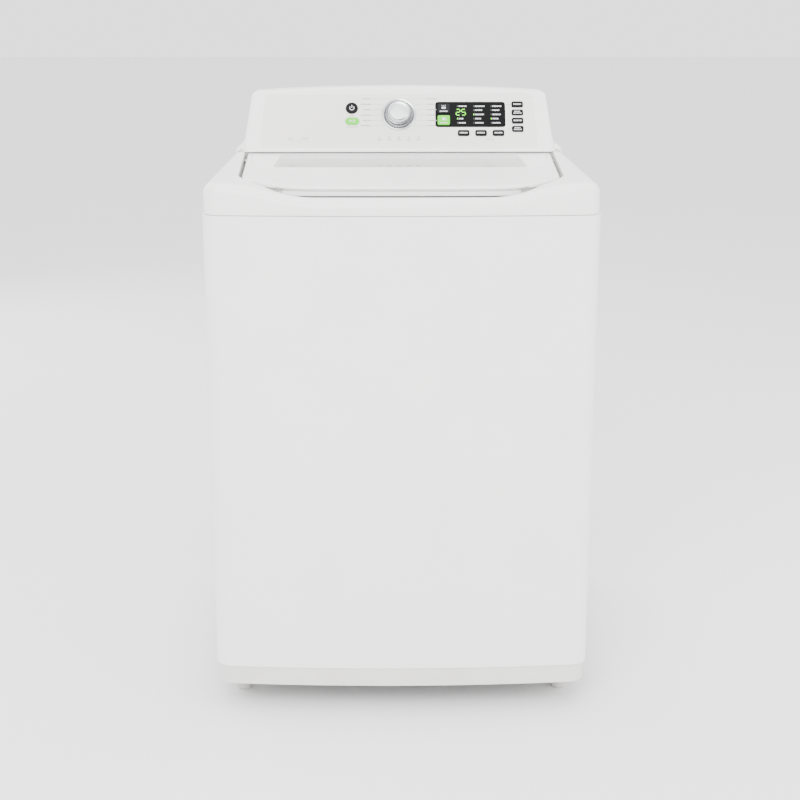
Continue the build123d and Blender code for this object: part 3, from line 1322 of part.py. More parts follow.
with BuildPart() as drive_pulley:
    with BuildSketch(Plane.XY.offset(PULLEY_Z)):
        with Locations((0, TUB_Y)):
            Circle(DRIVE_PULLEY_R)
            with PolarLocations(DRIVE_PULLEY_R * 0.58, SPOKES):
                Circle(DRIVE_PULLEY_R / 4, mode=Mode.SUBTRACT)
            Circle(SHAFT_R, mode=Mode.SUBTRACT)
    extrude(amount=PULLEY_WIDTH)
drive_pulley.part.label = "drive_pulley"
export_step(drive_pulley.part, "parts/drive_pulley.step")

with BuildPart() as drive_belt:
    with BuildSketch(Plane.XY.offset(PULLEY_Z + (PULLEY_WIDTH - BELT_WIDTH) / 2)):
        with Locations((0, TUB_Y)):
            Circle(DRIVE_PULLEY_R + BELT_CLEAR + BELT)
        with Locations((MOTOR_X, TUB_Y)):
            Circle(MOTOR_PULLEY_R + BELT_CLEAR + BELT)
        make_hull()
    extrude(amount=BELT_WIDTH)
    with BuildSketch(Plane.XY.offset(PULLEY_Z + (PULLEY_WIDTH - BELT_WIDTH) / 2)):
        with Locations((0, TUB_Y)):
            Circle(DRIVE_PULLEY_R + BELT_CLEAR)
        with Locations((MOTOR_X, TUB_Y)):
            Circle(MOTOR_PULLEY_R + BELT_CLEAR)
        make_hull()
    extrude(amount=BELT_WIDTH, mode=Mode.SUBTRACT)
drive_belt.part.label = "drive_belt"
export_step(drive_belt.part, "parts/drive_belt.step")

# ---------------------------------------------------------------- drain
HOSE_BACK = 40.0  # hose axis forward of the cabinet's rear edge
HOSE_BEND_R = 32.0
HOSE_LOW = 275.0
HOSE_COLLAR = 5.0
ARM_Z = 246.0
ARM_R = 9.0
SPIGOT_TOP = HOSE_LOW + 45.0
OUTLET_LENGTH = 20.8

hose_y = REAR_Y - HOSE_BACK
outlet_y = PANEL_Y + OUTLET_LENGTH

with BuildPart() as drain_pump:
    with BuildSketch(Plane.XY.offset(LUG_Z - PUMP_HEIGHT)):
        with Locations(PUMP_XY):
            Circle(PUMP_R)
    extrude(amount=PUMP_HEIGHT)
    fillet(drain_pump.edges().group_by(Axis.Z)[0], 6.0)
    with BuildSketch(Plane(origin=(*PUMP_XY, ARM_Z), z_dir=(HOSE_X - PUMP_XY[0], hose_y - PUMP_XY[1], 0))):
        Rectangle(2 * ARM_R, 2 * ARM_R)
    extrude(amount=sqrt((HOSE_X - PUMP_XY[0]) ** 2 + (hose_y - PUMP_XY[1]) ** 2))
    with BuildSketch(Plane.XY.offset(ARM_Z - SPIGOT_R)):
        with Locations((HOSE_X, hose_y)):
            Circle(SPIGOT_R)
    extrude(amount=SPIGOT_TOP - ARM_Z + SPIGOT_R)
drain_pump.part.label = "drain_pump"
export_step(drain_pump.part, "parts/drain_pump.step")

with BuildPart() as drain_hose:
    with BuildLine(Plane.YZ.offset(HOSE_X)) as hose_path:
        FilletPolyline((hose_y, HOSE_LOW), (hose_y, OUTLET_Z), (outlet_y, OUTLET_Z), radius=HOSE_BEND_R)
    with BuildSketch(Plane(origin=(HOSE_X, hose_y, HOSE_LOW), z_dir=(0, 0, 1))):
        Circle(HOSE_R)
        Circle(HOSE_BORE_R, mode=Mode.SUBTRACT)
    sweep(path=hose_path.wires()[0])
    with BuildSketch(REAR_FACE):
        with Locations((HOSE_X, OUTLET_Z)):
            Circle(HOSE_COLLAR_R)
            Circle(HOSE_BORE_R, mode=Mode.SUBTRACT)
    extrude(amount=HOSE_COLLAR)
drain_hose.part.label = "drain_hose"
export_step(drain_hose.part, "parts/drain_hose.step")
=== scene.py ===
import json
from math import atan2, cos, hypot, pi, radians, sin, tau

import bmesh
import bpy
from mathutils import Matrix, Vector


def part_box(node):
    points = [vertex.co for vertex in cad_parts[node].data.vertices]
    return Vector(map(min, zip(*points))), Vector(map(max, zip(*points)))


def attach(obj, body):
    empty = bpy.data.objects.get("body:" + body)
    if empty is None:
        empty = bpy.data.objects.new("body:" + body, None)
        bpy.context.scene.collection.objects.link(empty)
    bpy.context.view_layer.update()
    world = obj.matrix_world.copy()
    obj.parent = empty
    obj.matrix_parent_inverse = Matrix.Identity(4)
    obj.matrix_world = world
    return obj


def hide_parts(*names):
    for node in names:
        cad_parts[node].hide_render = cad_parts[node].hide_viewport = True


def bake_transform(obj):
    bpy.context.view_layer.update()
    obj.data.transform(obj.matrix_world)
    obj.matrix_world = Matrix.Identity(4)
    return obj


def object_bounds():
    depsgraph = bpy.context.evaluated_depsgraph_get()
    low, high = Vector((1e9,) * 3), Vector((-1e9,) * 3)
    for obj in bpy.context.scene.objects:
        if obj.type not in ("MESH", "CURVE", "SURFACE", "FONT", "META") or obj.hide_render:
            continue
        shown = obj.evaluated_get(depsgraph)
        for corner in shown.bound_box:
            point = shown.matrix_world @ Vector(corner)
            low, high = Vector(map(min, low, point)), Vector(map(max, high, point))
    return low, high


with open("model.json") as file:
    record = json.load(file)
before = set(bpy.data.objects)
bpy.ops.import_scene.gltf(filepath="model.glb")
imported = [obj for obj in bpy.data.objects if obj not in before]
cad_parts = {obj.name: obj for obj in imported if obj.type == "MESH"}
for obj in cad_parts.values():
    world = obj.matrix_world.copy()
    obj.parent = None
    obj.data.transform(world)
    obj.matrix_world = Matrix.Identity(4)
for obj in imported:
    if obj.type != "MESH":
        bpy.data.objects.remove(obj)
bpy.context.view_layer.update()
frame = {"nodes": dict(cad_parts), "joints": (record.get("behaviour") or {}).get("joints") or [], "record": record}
record = frame["record"]
joints = {joint["name"]: joint for joint in frame["joints"]}
MM = 0.001


# ------------------------------------------------------------------ material helpers
def srgb(code):
    """A hex colour as Blender's linear colour with full alpha."""
    levels = [int(code[i : i + 2], 16) / 255 for i in (1, 3, 5)]
    return tuple(c / 12.92 if c <= 0.04045 else ((c + 0.055) / 1.055) ** 2.4 for c in levels) + (1.0,)


def add_node(tree, kind, settings=None, inputs=None):
    """One node with its settings; an input is a number, a colour or another node's output."""
    node = tree.nodes.new(kind)
    for name, value in (settings or {}).items():
        setattr(node, name, value)
    for name, value in (inputs or {}).items():
        socket = node.inputs[name]
        if isinstance(value, bpy.types.NodeSocket):
            tree.links.new(value, socket)
        else:
            socket.default_value = value
    return node


def start_material(name, shader_inputs, kind="ShaderNodeBsdfPrincipled"):
    """A material with one shader; returns the material, its tree, the shader and Object coordinates."""
    material = bpy.data.materials.new(name)
    material.use_nodes = True
    tree = material.node_tree
    tree.nodes.clear()
    shader = add_node(tree, kind, None, shader_inputs)
    add_node(tree, "ShaderNodeOutputMaterial", None, {"Surface": shader.outputs[0]})
    place = add_node(tree, "ShaderNodeTexCoord")
    return material, tree, shader, place.outputs["Object"]


def set_inputs(tree, node, **sockets):
    """Links outputs to a shader's inputs, with spaces for underscores in their names."""
    for name, output in sockets.items():
        tree.links.new(output, node.inputs[name.replace("_", " ")])


def noise(tree, place, size, detail=3.0, rough=0.5, squeeze=(1, 1, 1)):
    """Noise whose patches are about size metres across; squeeze stretches it along an axis."""
    scaled = add_node(tree, "ShaderNodeMapping", None, {"Vector": place, "Scale": squeeze})
    return add_node(
        tree,
        "ShaderNodeTexNoise",
        None,
        {"Vector": scaled.outputs[0], "Scale": 1 / size, "Detail": detail, "Roughness": rough},
    ).outputs["Fac"]


def spread(tree, value, low, high):
    """Maps a pattern's middle range to low and high."""
    return add_node(
        tree,
        "ShaderNodeMapRange",
        None,
        {"Value": value, "From Min": 0.3, "From Max": 0.7, "To Min": low, "To Max": high},
    ).outputs[0]


def blend_colours(tree, value, first, second):
    """A colour between two hex colours by a pattern."""
    ramp = add_node(tree, "ShaderNodeValToRGB", None, {"Fac": value})
    ramp.color_ramp.elements[0].position = 0.3
    ramp.color_ramp.elements[0].color = srgb(first)
    ramp.color_ramp.elements[1].position = 0.7
    ramp.color_ramp.elements[1].color = srgb(second)
    return ramp.outputs["Color"]


def bump(tree, height, depth, strength=1.0):
    """A normal from a height pattern, depth metres deep."""
    return add_node(
        tree, "ShaderNodeBump", None, {"Height": height, "Distance": depth, "Strength": strength}
    ).outputs["Normal"]


# ------------------------------------------------------------------ finishes
def painted_steel(name, light, shade, peel):
    """Powder-coated sheet: an even gloss coat whose faint orange peel softens every reflection."""
    material, tree, shader, place = start_material(
        name, {"IOR": 1.5, "Coat Weight": 0.35, "Coat Roughness": 0.12}
    )
    cloud = noise(tree, place, 120 * MM, 2.0)
    # peel of the coat, drawn coarser than the real 1 mm so that it shows
    skin = noise(tree, place, 3.2 * MM, 2.0)
    set_inputs(
        tree,
        shader,
        Base_Color=blend_colours(tree, cloud, light, shade),
        Roughness=spread(tree, cloud, 0.27, 0.34),
        Normal=bump(tree, skin, peel * MM, 0.35),
    )
    return material


def moulded(name, light, shade, gloss, grain, depth, sheen_through=0.0, shine=0.5):
    """Injection-moulded plastic: fine spark-eroded grain, slow cloudy changes of gloss."""
    material, tree, shader, place = start_material(
        name,
        {
            "IOR": 1.47,
            "Specular IOR Level": shine,
            "Subsurface Weight": sheen_through,
            "Subsurface Scale": 0.004,
        },
    )
    flow = noise(tree, place, 60 * MM, 2.0)
    skin = noise(tree, place, grain * MM, 4.0, 0.65)
    set_inputs(
        tree,
        shader,
        Base_Color=blend_colours(tree, flow, light, shade),
        Roughness=spread(tree, flow, gloss - 0.03, gloss + 0.04),
        Normal=bump(tree, skin, depth * MM, 0.4),
    )
    return material


def flat_ink(name, light, shade, gloss=0.5):
    """Screen-printed ink: opaque, a little uneven where the mesh of the screen left it thin."""
    material, tree, shader, place = start_material(name, {"IOR": 1.5})
    mesh = noise(tree, place, 0.8 * MM, 2.0)
    set_inputs(
        tree,
        shader,
        Base_Color=blend_colours(tree, mesh, light, shade),
        Roughness=spread(tree, mesh, gloss - 0.05, gloss + 0.05),
    )
    return material


def lit(name, colour, glow, strength):
    """A lamp behind a diffusing lens: brighter where the light pipe is clear."""
    material, tree, shader, place = start_material(
        name, {"IOR": 1.5, "Roughness": 0.3, "Emission Strength": strength}
    )
    haze = noise(tree, place, 2.0 * MM, 2.0)
    set_inputs(
        tree,
        shader,
        Base_Color=blend_colours(tree, haze, colour, glow),
        Emission_Color=blend_colours(tree, haze, colour, glow),
    )
    return material


def worked_metal(name, light, shade, gloss, size, depth, squeeze=(1, 1, 1)):
    """Bare metal with the marks of how it was made: squeeze turns round marks into brushed lines."""
    material, tree, shader, place = start_material(name, {"Metallic": 1.0})
    cloud = noise(tree, place, 45 * MM, 3.0)
    marks = noise(tree, place, size * MM, 3.0, 0.6, squeeze)
    set_inputs(
        tree,
        shader,
        Base_Color=blend_colours(tree, marks, light, shade),
        Roughness=spread(tree, cloud, gloss - 0.05, gloss + 0.06),
        Normal=bump(tree, marks, depth * MM, 0.5),
    )
    return material


def galvanised(name, light, shade):
    """Hot-dipped zinc sheet: flat angular crystals, each catching the light its own way."""
    material, tree, shader, place = start_material(name, {"Metallic": 1.0})
    crystals = add_node(
        tree, "ShaderNodeTexVoronoi", {"feature": "F1"}, {"Vector": place, "Scale": 1 / (14 * MM)}
    )
    tone = add_node(tree, "ShaderNodeSeparateColor", None, {"Color": crystals.outputs["Color"]})
    cloud = noise(tree, place, 90 * MM, 3.0)
    set_inputs(
        tree,
        shader,
        Base_Color=blend_colours(tree, tone.outputs["Red"], light, shade),
        Roughness=spread(tree, tone.outputs["Green"], 0.38, 0.5),
        Normal=bump(tree, cloud, 0.3 * MM, 0.3),
    )
    return material


def spun(name, light, shade, centre, gloss):
    """Lathe-turned metal: fine rings about the axle that pull each highlight into a bow tie."""
    material, tree, shader, place = start_material(name, {"Metallic": 1.0})
    away = add_node(
        tree, "ShaderNodeVectorMath", {"operation": "DISTANCE"}, {0: place, 1: tuple(centre)}
    ).outputs["Value"]
    rings = add_node(
        tree,
        "ShaderNodeTexNoise",
        {"noise_dimensions": "1D"},
        {"W": away, "Scale": 1 / (0.5 * MM), "Detail": 2.0},  # tool marks, drawn at half a millimetre
    ).outputs["Fac"]
    set_inputs(
        tree,
        shader,
        Base_Color=blend_colours(tree, rings, light, shade),
        Roughness=spread(tree, rings, gloss - 0.04, gloss + 0.05),
        Normal=bump(tree, rings, 0.02 * MM, 0.5),
    )
    return material


def clear_glass(name):
    """Tempered float glass, faintly grey: clear to look into, with a sharp reflection."""
    material, tree, shader, place = start_material(
        name, {"IOR": 1.5, "Transmission Weight": 1.0, "Base Color": srgb("#DDE3E4")}
    )
    wipe = noise(tree, place, 80 * MM, 3.0)
    set_inputs(tree, shader, Roughness=spread(tree, wipe, 0.0, 0.02))
    return material


def board_mask(name):
    """Circuit board: green solder mask over copper lines in a square grid."""
    material, tree, shader, place = start_material(name, {"IOR": 1.5, "Roughness": 0.35})
    grid = add_node(
        tree,
        "ShaderNodeTexBrick",
        {"offset": 0.5},
        {
            "Vector": place,
            "Color1": srgb("#0F5A2C"),
            "Color2": srgb("#0C4A25"),
            "Mortar": srgb("#2E8B4E"),
            "Scale": 1 / (20 * MM),
            "Mortar Size": 0.03,
        },
    )
    set_inputs(
        tree, shader, Base_Color=grid.outputs["Color"], Normal=bump(tree, grid.outputs["Fac"], 0.05 * MM)
    )
    return material


enamel = painted_steel("enamel_powder_coated_steel", "#F4F4F3", "#F1F1F1", 0.05)
white_abs = moulded("white_abs_moulded", "#F5F5F3", "#F2F2F0", 0.34, 1.4, 0.02, 0.05)
back_painted = painted_steel("white_back_painted_glass", "#F6F7F6", "#F3F4F3", 0.0)
window_glass = clear_glass("window_tempered_glass")
fascia_print = moulded("fascia_satin_polycarbonate_film", "#EBEAE5", "#E7E6E1", 0.36, 0.9, 0.01)
# smoked acrylic with a matt hard coat: near black, with only a faint reflection of the room
black_panel = moulded("display_black_acrylic", "#020203", "#040405", 0.3, 0.8, 0.0, shine=0.12)
dark_cap = moulded("keycap_charcoal_abs", "#0D0E0F", "#09090A", 0.5, 0.8, 0.01, shine=0.15)
grey_cap = moulded("keycap_grey_acrylic", "#1C1E20", "#161819", 0.4, 0.8, 0.01, shine=0.15)
green_cap = lit("keycap_green_backlit_acrylic", "#46C400", "#58D400", 0.15)
lamp_on = lit("lamp_green_lit", "#6CFF1A", "#8AFF3C", 1.6)
lamp_off = moulded("lamp_unlit_smoked", "#5B5D58", "#4C4E4A", 0.4, 0.8, 0.0)
digit_dim = moulded("display_digit_unlit", "#16200F", "#121A0D", 0.4, 0.8, 0.0)
grey_ink = flat_ink("ink_warm_grey", "#A09F9B", "#8F8E8A")
pale_ink = flat_ink("ink_pale_grey", "#D9DBDC", "#C6C9CA")
green_ink = flat_ink("ink_fresh_green", "#86D233", "#74C022")
pressed_zinc = galvanised("galvanised_sheet_steel", "#B4B7BA", "#AAAEB1")
zinc_plate = worked_metal("zinc_plated_steel", "#C4C6C6", "#A9ACAE", 0.32, 2.5, 0.02)
spring_wire = worked_metal("drawn_spring_steel", "#8B8E91", "#74777A", 0.35, 1.5, 0.03, (1, 1, 0.2))
stainless = worked_metal("stainless_brushed_sheet", "#C9CBCC", "#B3B6B8", 0.26, 1.4, 0.01, (1, 1, 0.04))
cast_metal = worked_metal("aluminium_die_cast", "#A8ABAE", "#929598", 0.48, 1.8, 0.12)
bright_trim = worked_metal("trim_chromed_plastic", "#D9DBDD", "#C9CBCD", 0.16, 1.5, 0.005)
# darker chrome, used only as painted shade on the floor of the dial bezel's groove
groove_shade_trim = worked_metal("trim_painted_groove_shade", "#6C6E71", "#55575A", 0.24, 1.5, 0.005)
base_moulding = moulded("base_grey_polypropylene", "#DDDBD8", "#D6D4D1", 0.5, 1.6, 0.05)
foot_moulding = moulded("foot_grey_nylon", "#CFCBC7", "#C4C0BC", 0.55, 1.6, 0.05)
black_rubber = moulded("rubber_moulded", "#1E1F20", "#18191A", 0.7, 1.2, 0.05)
pale_rubber = moulded("rubber_pale_buffer", "#C9C9C6", "#BDBDBA", 0.7, 1.2, 0.05)
tub_plastic = moulded("tub_filled_polypropylene", "#DADDDF", "#CFD3D6", 0.5, 1.8, 0.06)
grey_nylon = moulded("nylon_grey_moulded", "#6B6E70", "#5E6163", 0.5, 1.2, 0.04)
hose_vinyl = moulded("hose_corrugated_vinyl", "#8F9294", "#83868A", 0.5, 1.5, 0.04)
red_ring = moulded("ring_red_nylon", "#B5362C", "#A22F26", 0.5, 1.0, 0.03)
blue_ring = moulded("ring_blue_nylon", "#2F62AE", "#28569A", 0.5, 1.0, 0.03)
copper_wire = worked_metal("copper_enamelled_winding", "#A8552A", "#8A431F", 0.35, 1.0, 0.1, (1, 1, 3))
circuit = board_mask("circuit_board_solder_mask")
# near-black painted shade, put in the screws' cross recesses, the console's vent slots and the hose's mouth, where
# there is only shade
shadow_black = moulded("painted_recess_shade", "#141414", "#101010", 0.8, 1.0, 0.0)


# ------------------------------------------------------------------ mesh helpers
def piece_from_mesh(name, data, material, body, replaced=(), angle=30):
    """A finished piece that rides on a CAD body, smooth except at its sharp edges."""
    data.materials.clear()
    data.materials.append(material)
    return place_piece(name, data, body, replaced, angle)


def place_piece(name, data, body, replaced=(), angle=30):
    """A finished piece whose mesh already has its materials."""
    data.shade_smooth()
    data.set_sharp_from_angle(angle=radians(angle))
    piece = bpy.data.objects.new(name, data)
    bpy.context.scene.collection.objects.link(piece)
    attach(piece, body)
    if replaced:
        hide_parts(*replaced)
    return piece


def mesh_of(name, verts, faces):
    """A mesh with its doubles merged and its normals outward."""
    data = bpy.data.meshes.new(name)
    data.from_pydata([tuple(v) for v in verts], [], faces)
    work = bmesh.new()
    work.from_mesh(data)
    bmesh.ops.remove_doubles(work, verts=work.verts, dist=1e-6)
    bmesh.ops.recalc_face_normals(work, faces=work.faces)
    work.to_mesh(data)
    work.free()
    return data


def joined(name, parts):
    """One mesh from several (verts, faces) lists."""
    verts, faces = [], []
    for part_verts, part_faces in parts:
        base = len(verts)
        verts += part_verts
        faces += [tuple(base + i for i in face) for face in part_faces]
    return mesh_of(name, verts, faces)


def prism(outline, low, high, put):
    """A closed slab between two levels; put turns (x, y, level) into a place."""
    n = len(outline)
    verts = [put(x, y, low) for x, y in outline] + [put(x, y, high) for x, y in outline]
    faces = [tuple(range(n)), tuple(range(n, 2 * n))]
    faces += [(i, (i + 1) % n, n + (i + 1) % n, n + i) for i in range(n)]
    return verts, faces


def ring_slab(outer, inner, low, high, put):
    """A slab with a hole; both outlines have the same number of points."""
    n = len(outer)
    verts = [put(x, y, z) for z in (low, high) for line in (outer, inner) for x, y in line]
    faces = []
    for i in range(n):
        j = (i + 1) % n
        faces.append((i, j, n + j, n + i))
        faces.append((2 * n + i, 3 * n + i, 3 * n + j, 2 * n + j))
        faces.append((i, 2 * n + i, 2 * n + j, j))
        faces.append((n + i, n + j, 3 * n + j, 3 * n + i))
    return verts, faces


def turned(profile, segments, put, closed=False):
    """A shape turned about its axle from (radius, level) points; ends on the axle close it."""
    verts, faces, rows = [], [], []
    for radius, level in profile:
        if radius < 1e-7:
            rows.append([len(verts)])
            verts.append(put(0, 0, level))
        else:
            rows.append(list(range(len(verts), len(verts) + segments)))
            verts += [
                put(radius * cos(tau * k / segments), radius * sin(tau * k / segments), level)
                for k in range(segments)
            ]
    pairs = list(zip(rows, rows[1:])) + ([(rows[-1], rows[0])] if closed else [])
    for a, b in pairs:
        for k in range(segments):
            m = (k + 1) % segments
            if len(a) == 1 and len(b) == 1:
                continue
            if len(a) == 1:
                faces.append((a[0], b[m], b[k]))
            elif len(b) == 1:
                faces.append((a[k], a[m], b[0]))
            else:
                faces.append((a[k], a[m], b[m], b[k]))
    return verts, faces


def tube(points, radii, sides):
    """A tube of changing radius along points, closed at both ends."""
    verts, faces = [], []
    normal = None
    for i, point in enumerate(points):
        ahead = (points[min(i + 1, len(points) - 1)] - points[max(i - 1, 0)]).normalized()
        if normal is None:
            normal = ahead.orthogonal().normalized()
        normal = (normal - ahead * normal.dot(ahead)).normalized()
        across = ahead.cross(normal)
        verts += [
            point + (
                normal * cos(tau * k / sides) + across * sin(tau * k / sides)
            ) * radii[i] for k in range(sides)
        ]
    for i in range(len(points) - 1):
        for k in range(sides):
            m = (k + 1) % sides
            faces.append((i * sides + k, i * sides + m, (i + 1) * sides + m, (i + 1) * sides + k))
    last = (len(points) - 1) * sides
    faces.append(tuple(range(sides)))
    faces.append(tuple(range(last, last + sides)))
    return verts, faces


def round_rect(cx, cy, width, height, radius, steps=5):
    """Outline of a rectangle with rounded corners."""
    radius = min(radius, width / 2 - 1e-6, height / 2 - 1e-6)
    points = []
    for sx, sy, start in ((1, 1, 0), (-1, 1, 90), (-1, -1, 180), (1, -1, 270)):
        for k in range(steps + 1):
            a = radians(start + 90 * k / steps)
            points.append(
                (
                    cx + sx * (width / 2 - radius) + radius * cos(a),
                    cy + sy * (height / 2 - radius) + radius * sin(a),
                )
            )
    return points


def circle(cx, cy, radius, steps=20):
    """Outline of a circle."""
    return [(cx + radius * cos(tau * k / steps), cy + radius * sin(tau * k / steps)) for k in range(steps)]


def line_mark(x0, y0, x1, y1, width):
    """Outline of a straight line of ink."""
    d = Vector((x1 - x0, y1 - y0)).normalized() * width / 2
    return [(x0 + d.y, y0 - d.x), (x1 + d.y, y1 - d.x), (x1 - d.y, y1 + d.x), (x0 - d.y, y0 + d.x)]


def upright(x, y, z):
    """A place in the frame as it is."""
    return Vector((x, y, z))


def at(origin, axis):
    """A put function whose levels run along axis from origin."""
    turn = Vector(axis).to_track_quat("Z", "Y").to_matrix()
    return lambda x, y, z: Vector(origin) + turn @ Vector((x, y, z))


def smooth_copy(node, material, body, angle=30):
    """The CAD node's own shape with its triangles joined and its rounds shaded smoothly."""
    data = frame["nodes"][node].data.copy()
    work = bmesh.new()
    work.from_mesh(data)
    bmesh.ops.remove_doubles(work, verts=work.verts, dist=1e-6)
    bmesh.ops.dissolve_degenerate(work, dist=1e-7, edges=work.edges)
    work.to_mesh(data)
    work.free()
    data.materials.clear()
    data.materials.append(material)
    for name in [a.name for a in data.color_attributes]:
        data.color_attributes.remove(data.color_attributes[name])
    data.shade_smooth()
    data.set_sharp_from_angle(angle=radians(angle))
    rough = bpy.data.objects.new(node + "_rough", data)
    bpy.context.scene.collection.objects.link(rough)
    weigh = rough.modifiers.new("weigh", "WEIGHTED_NORMAL")
    weigh.keep_sharp = True
    weigh.weight = 100
    finished = bpy.data.meshes.new_from_object(rough.evaluated_get(bpy.context.evaluated_depsgraph_get()))
    bpy.data.objects.remove(rough)
    piece = bpy.data.objects.new(node + "_skin", finished)
    bpy.context.scene.collection.objects.link(piece)
    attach(piece, body)
    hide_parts(node)
    return piece


body_of_node = {node: body for body, nodes in record["behaviour"]["bodies"].items() for node in nodes}

# ------------------------------------------------------------------ the console's face
knob_place = Vector(joints["knob_turn"]["pos_m"])
face_out = Vector(joints["knob_turn"]["axis"]).normalized()
face_across = Vector((1, 0, 0))
face_up = face_out.cross(face_across).normalized()


def face_span(node):
    """A node's extent on the console's face from the dial's middle: low u, high u, low v, high v, top w."""
    places = [v.co - knob_place for v in frame["nodes"][node].data.vertices]
    across = [p.dot(face_across) for p in places]
    up = [p.dot(face_up) for p in places]
    out = [p.dot(face_out) for p in places]
    return min(across), max(across), min(up), max(up), max(out)


fascia = face_span("control_fascia")
film_top = fascia[4]


def on_face(u, v, w):
    """A place on the console's face, measured from the dial's middle."""
    return knob_place + face_across * u + face_up * v + face_out * w


def marks(name, outlines, level, ink, body, slot, thickness=0.06 * MM):
    """Thin printed marks on the console's face."""
    parts = [prism(outline, level - thickness, level + thickness, on_face) for outline in outlines]
    return piece_from_mesh(name, joined(name, parts), ink, body)


# ------------------------------------------------------------------ geometry node trees
SOCKET = {"float": "NodeSocketFloat", "int": "NodeSocketInt", "material": "NodeSocketMaterial"}


def new_tree(name, sizes):
    """An empty geometry tree with Geometry in and out and one named input for each size."""
    tree = bpy.data.node_groups.new(name, "GeometryNodeTree")
    tree.interface.new_socket(name="Geometry", in_out="INPUT", socket_type="NodeSocketGeometry")
    for label, kind in sizes:
        tree.interface.new_socket(name=label, in_out="INPUT", socket_type=SOCKET[kind])
    tree.interface.new_socket(name="Geometry", in_out="OUTPUT", socket_type="NodeSocketGeometry")
    return tree, add_node(tree, "NodeGroupInput")


def end_tree(tree, geometry, material):
    """Ends a tree in real geometry with its material set."""
    real = add_node(tree, "GeometryNodeRealizeInstances", None, {"Geometry": geometry})
    painted = add_node(
        tree, "GeometryNodeSetMaterial", None, {"Geometry": real.outputs[0], "Material": material}
    )
    add_node(tree, "NodeGroupOutput", None, {"Geometry": painted.outputs[0]})


def math(tree, operation, a, b=0.0):
    """One sum on two values."""
    return add_node(tree, "ShaderNodeMath", {"operation": operation}, {0: a, 1: b}).outputs[0]


def grown(name, tree, source, values):
    """The plain mesh that a tree makes from source with these input values."""
    carrier = bpy.data.objects.new(name + "_carrier", source)
    bpy.context.scene.collection.objects.link(carrier)
    modifier = carrier.modifiers.new("grow", "NODES")
    modifier.node_group = tree
    for item in tree.interface.items_tree:
        if item.in_out == "INPUT" and item.name in values:
            modifier[item.identifier] = values[item.name]
    data = bpy.data.meshes.new_from_object(carrier.evaluated_get(bpy.context.evaluated_depsgraph_get()))
    carrier.modifiers.clear()
    bpy.data.objects.remove(carrier)
    return data


def points_mesh(places):
    """A mesh of loose points."""
    data = bpy.data.meshes.new("places")
    data.from_pydata([tuple(p) for p in places], [], [])
    return data


def perforated_wall_tree():
    """A sheet with rows of round holes, rolled into an upright drum."""
    tree, given = new_tree(
        "perforated_wall",
        [
            ("Columns", "int"),
            ("Rows", "int"),
            ("Radius", "float"),
            ("Low", "float"),
            ("High", "float"),
            ("Centre Y", "float"),
            ("Finish", "material"),
        ],
    )
    out = given.outputs
    girth = math(tree, "MULTIPLY", out["Radius"], tau)
    tall = math(tree, "SUBTRACT", out["High"], out["Low"])
    across = math(tree, "MULTIPLY", out["Columns"], 3.0)
    up = math(tree, "MULTIPLY", out["Rows"], 3.0)
    sheet = add_node(
        tree,
        "GeometryNodeMeshGrid",
        None,
        {
            "Size X": girth,
            "Size Y": tall,
            "Vertices X": math(tree, "ADD", across, 1.0),
            "Vertices Y": math(tree, "ADD", up, 1.0),
        },
    )
    place = add_node(tree, "GeometryNodeInputPosition")
    xyz = add_node(tree, "ShaderNodeSeparateXYZ", None, {0: place.outputs[0]})
    holes = []
    for axis, size, count in (("X", girth, across), ("Y", tall, up)):
        from_edge = math(tree, "ADD", xyz.outputs[axis], math(tree, "DIVIDE", size, 2.0))
        step = math(tree, "FLOOR", math(tree, "DIVIDE", from_edge, math(tree, "DIVIDE", size, count)))
        third = math(tree, "MODULO", math(tree, "ADD", step, 0.001), 3.0)
        holes.append(math(tree, "COMPARE", third, 1.0))
    for hole in holes:
        hole.node.inputs[2].default_value = 0.1
    cut = add_node(
        tree,
        "GeometryNodeDeleteGeometry",
        {"domain": "FACE"},
        {"Geometry": sheet.outputs[0], "Selection": math(tree, "MULTIPLY", *holes)},
    )
    rounded = add_node(
        tree, "GeometryNodeSubdivisionSurface", None, {"Mesh": cut.outputs[0], "Level": 1}
    )
    angle = math(tree, "DIVIDE", xyz.outputs["X"], out["Radius"])
    rolled = add_node(
        tree,
        "ShaderNodeCombineXYZ",
        None,
        {
            0: math(tree, "MULTIPLY", math(tree, "SINE", angle), out["Radius"]),
            1: math(
                tree,
                "ADD",
                math(tree, "MULTIPLY", math(tree, "COSINE", angle), out["Radius"]),
                out["Centre Y"],
            ),
            2: math(
                tree,
                "ADD",
                xyz.outputs["Y"],
                math(tree, "MULTIPLY", math(tree, "ADD", out["Low"], out["High"]), 0.5),
            ),
        },
    )
    drum = add_node(
        tree, "GeometryNodeSetPosition", None, {
            "Geometry": rounded.outputs[0], "Position": rolled.outputs[0]
        }
    )
    closed = add_node(
        tree, "GeometryNodeMergeByDistance", None, {"Geometry": drum.outputs[0], "Distance": 0.05 * MM}
    )
    end_tree(tree, closed.outputs[0], out["Finish"])
    return tree


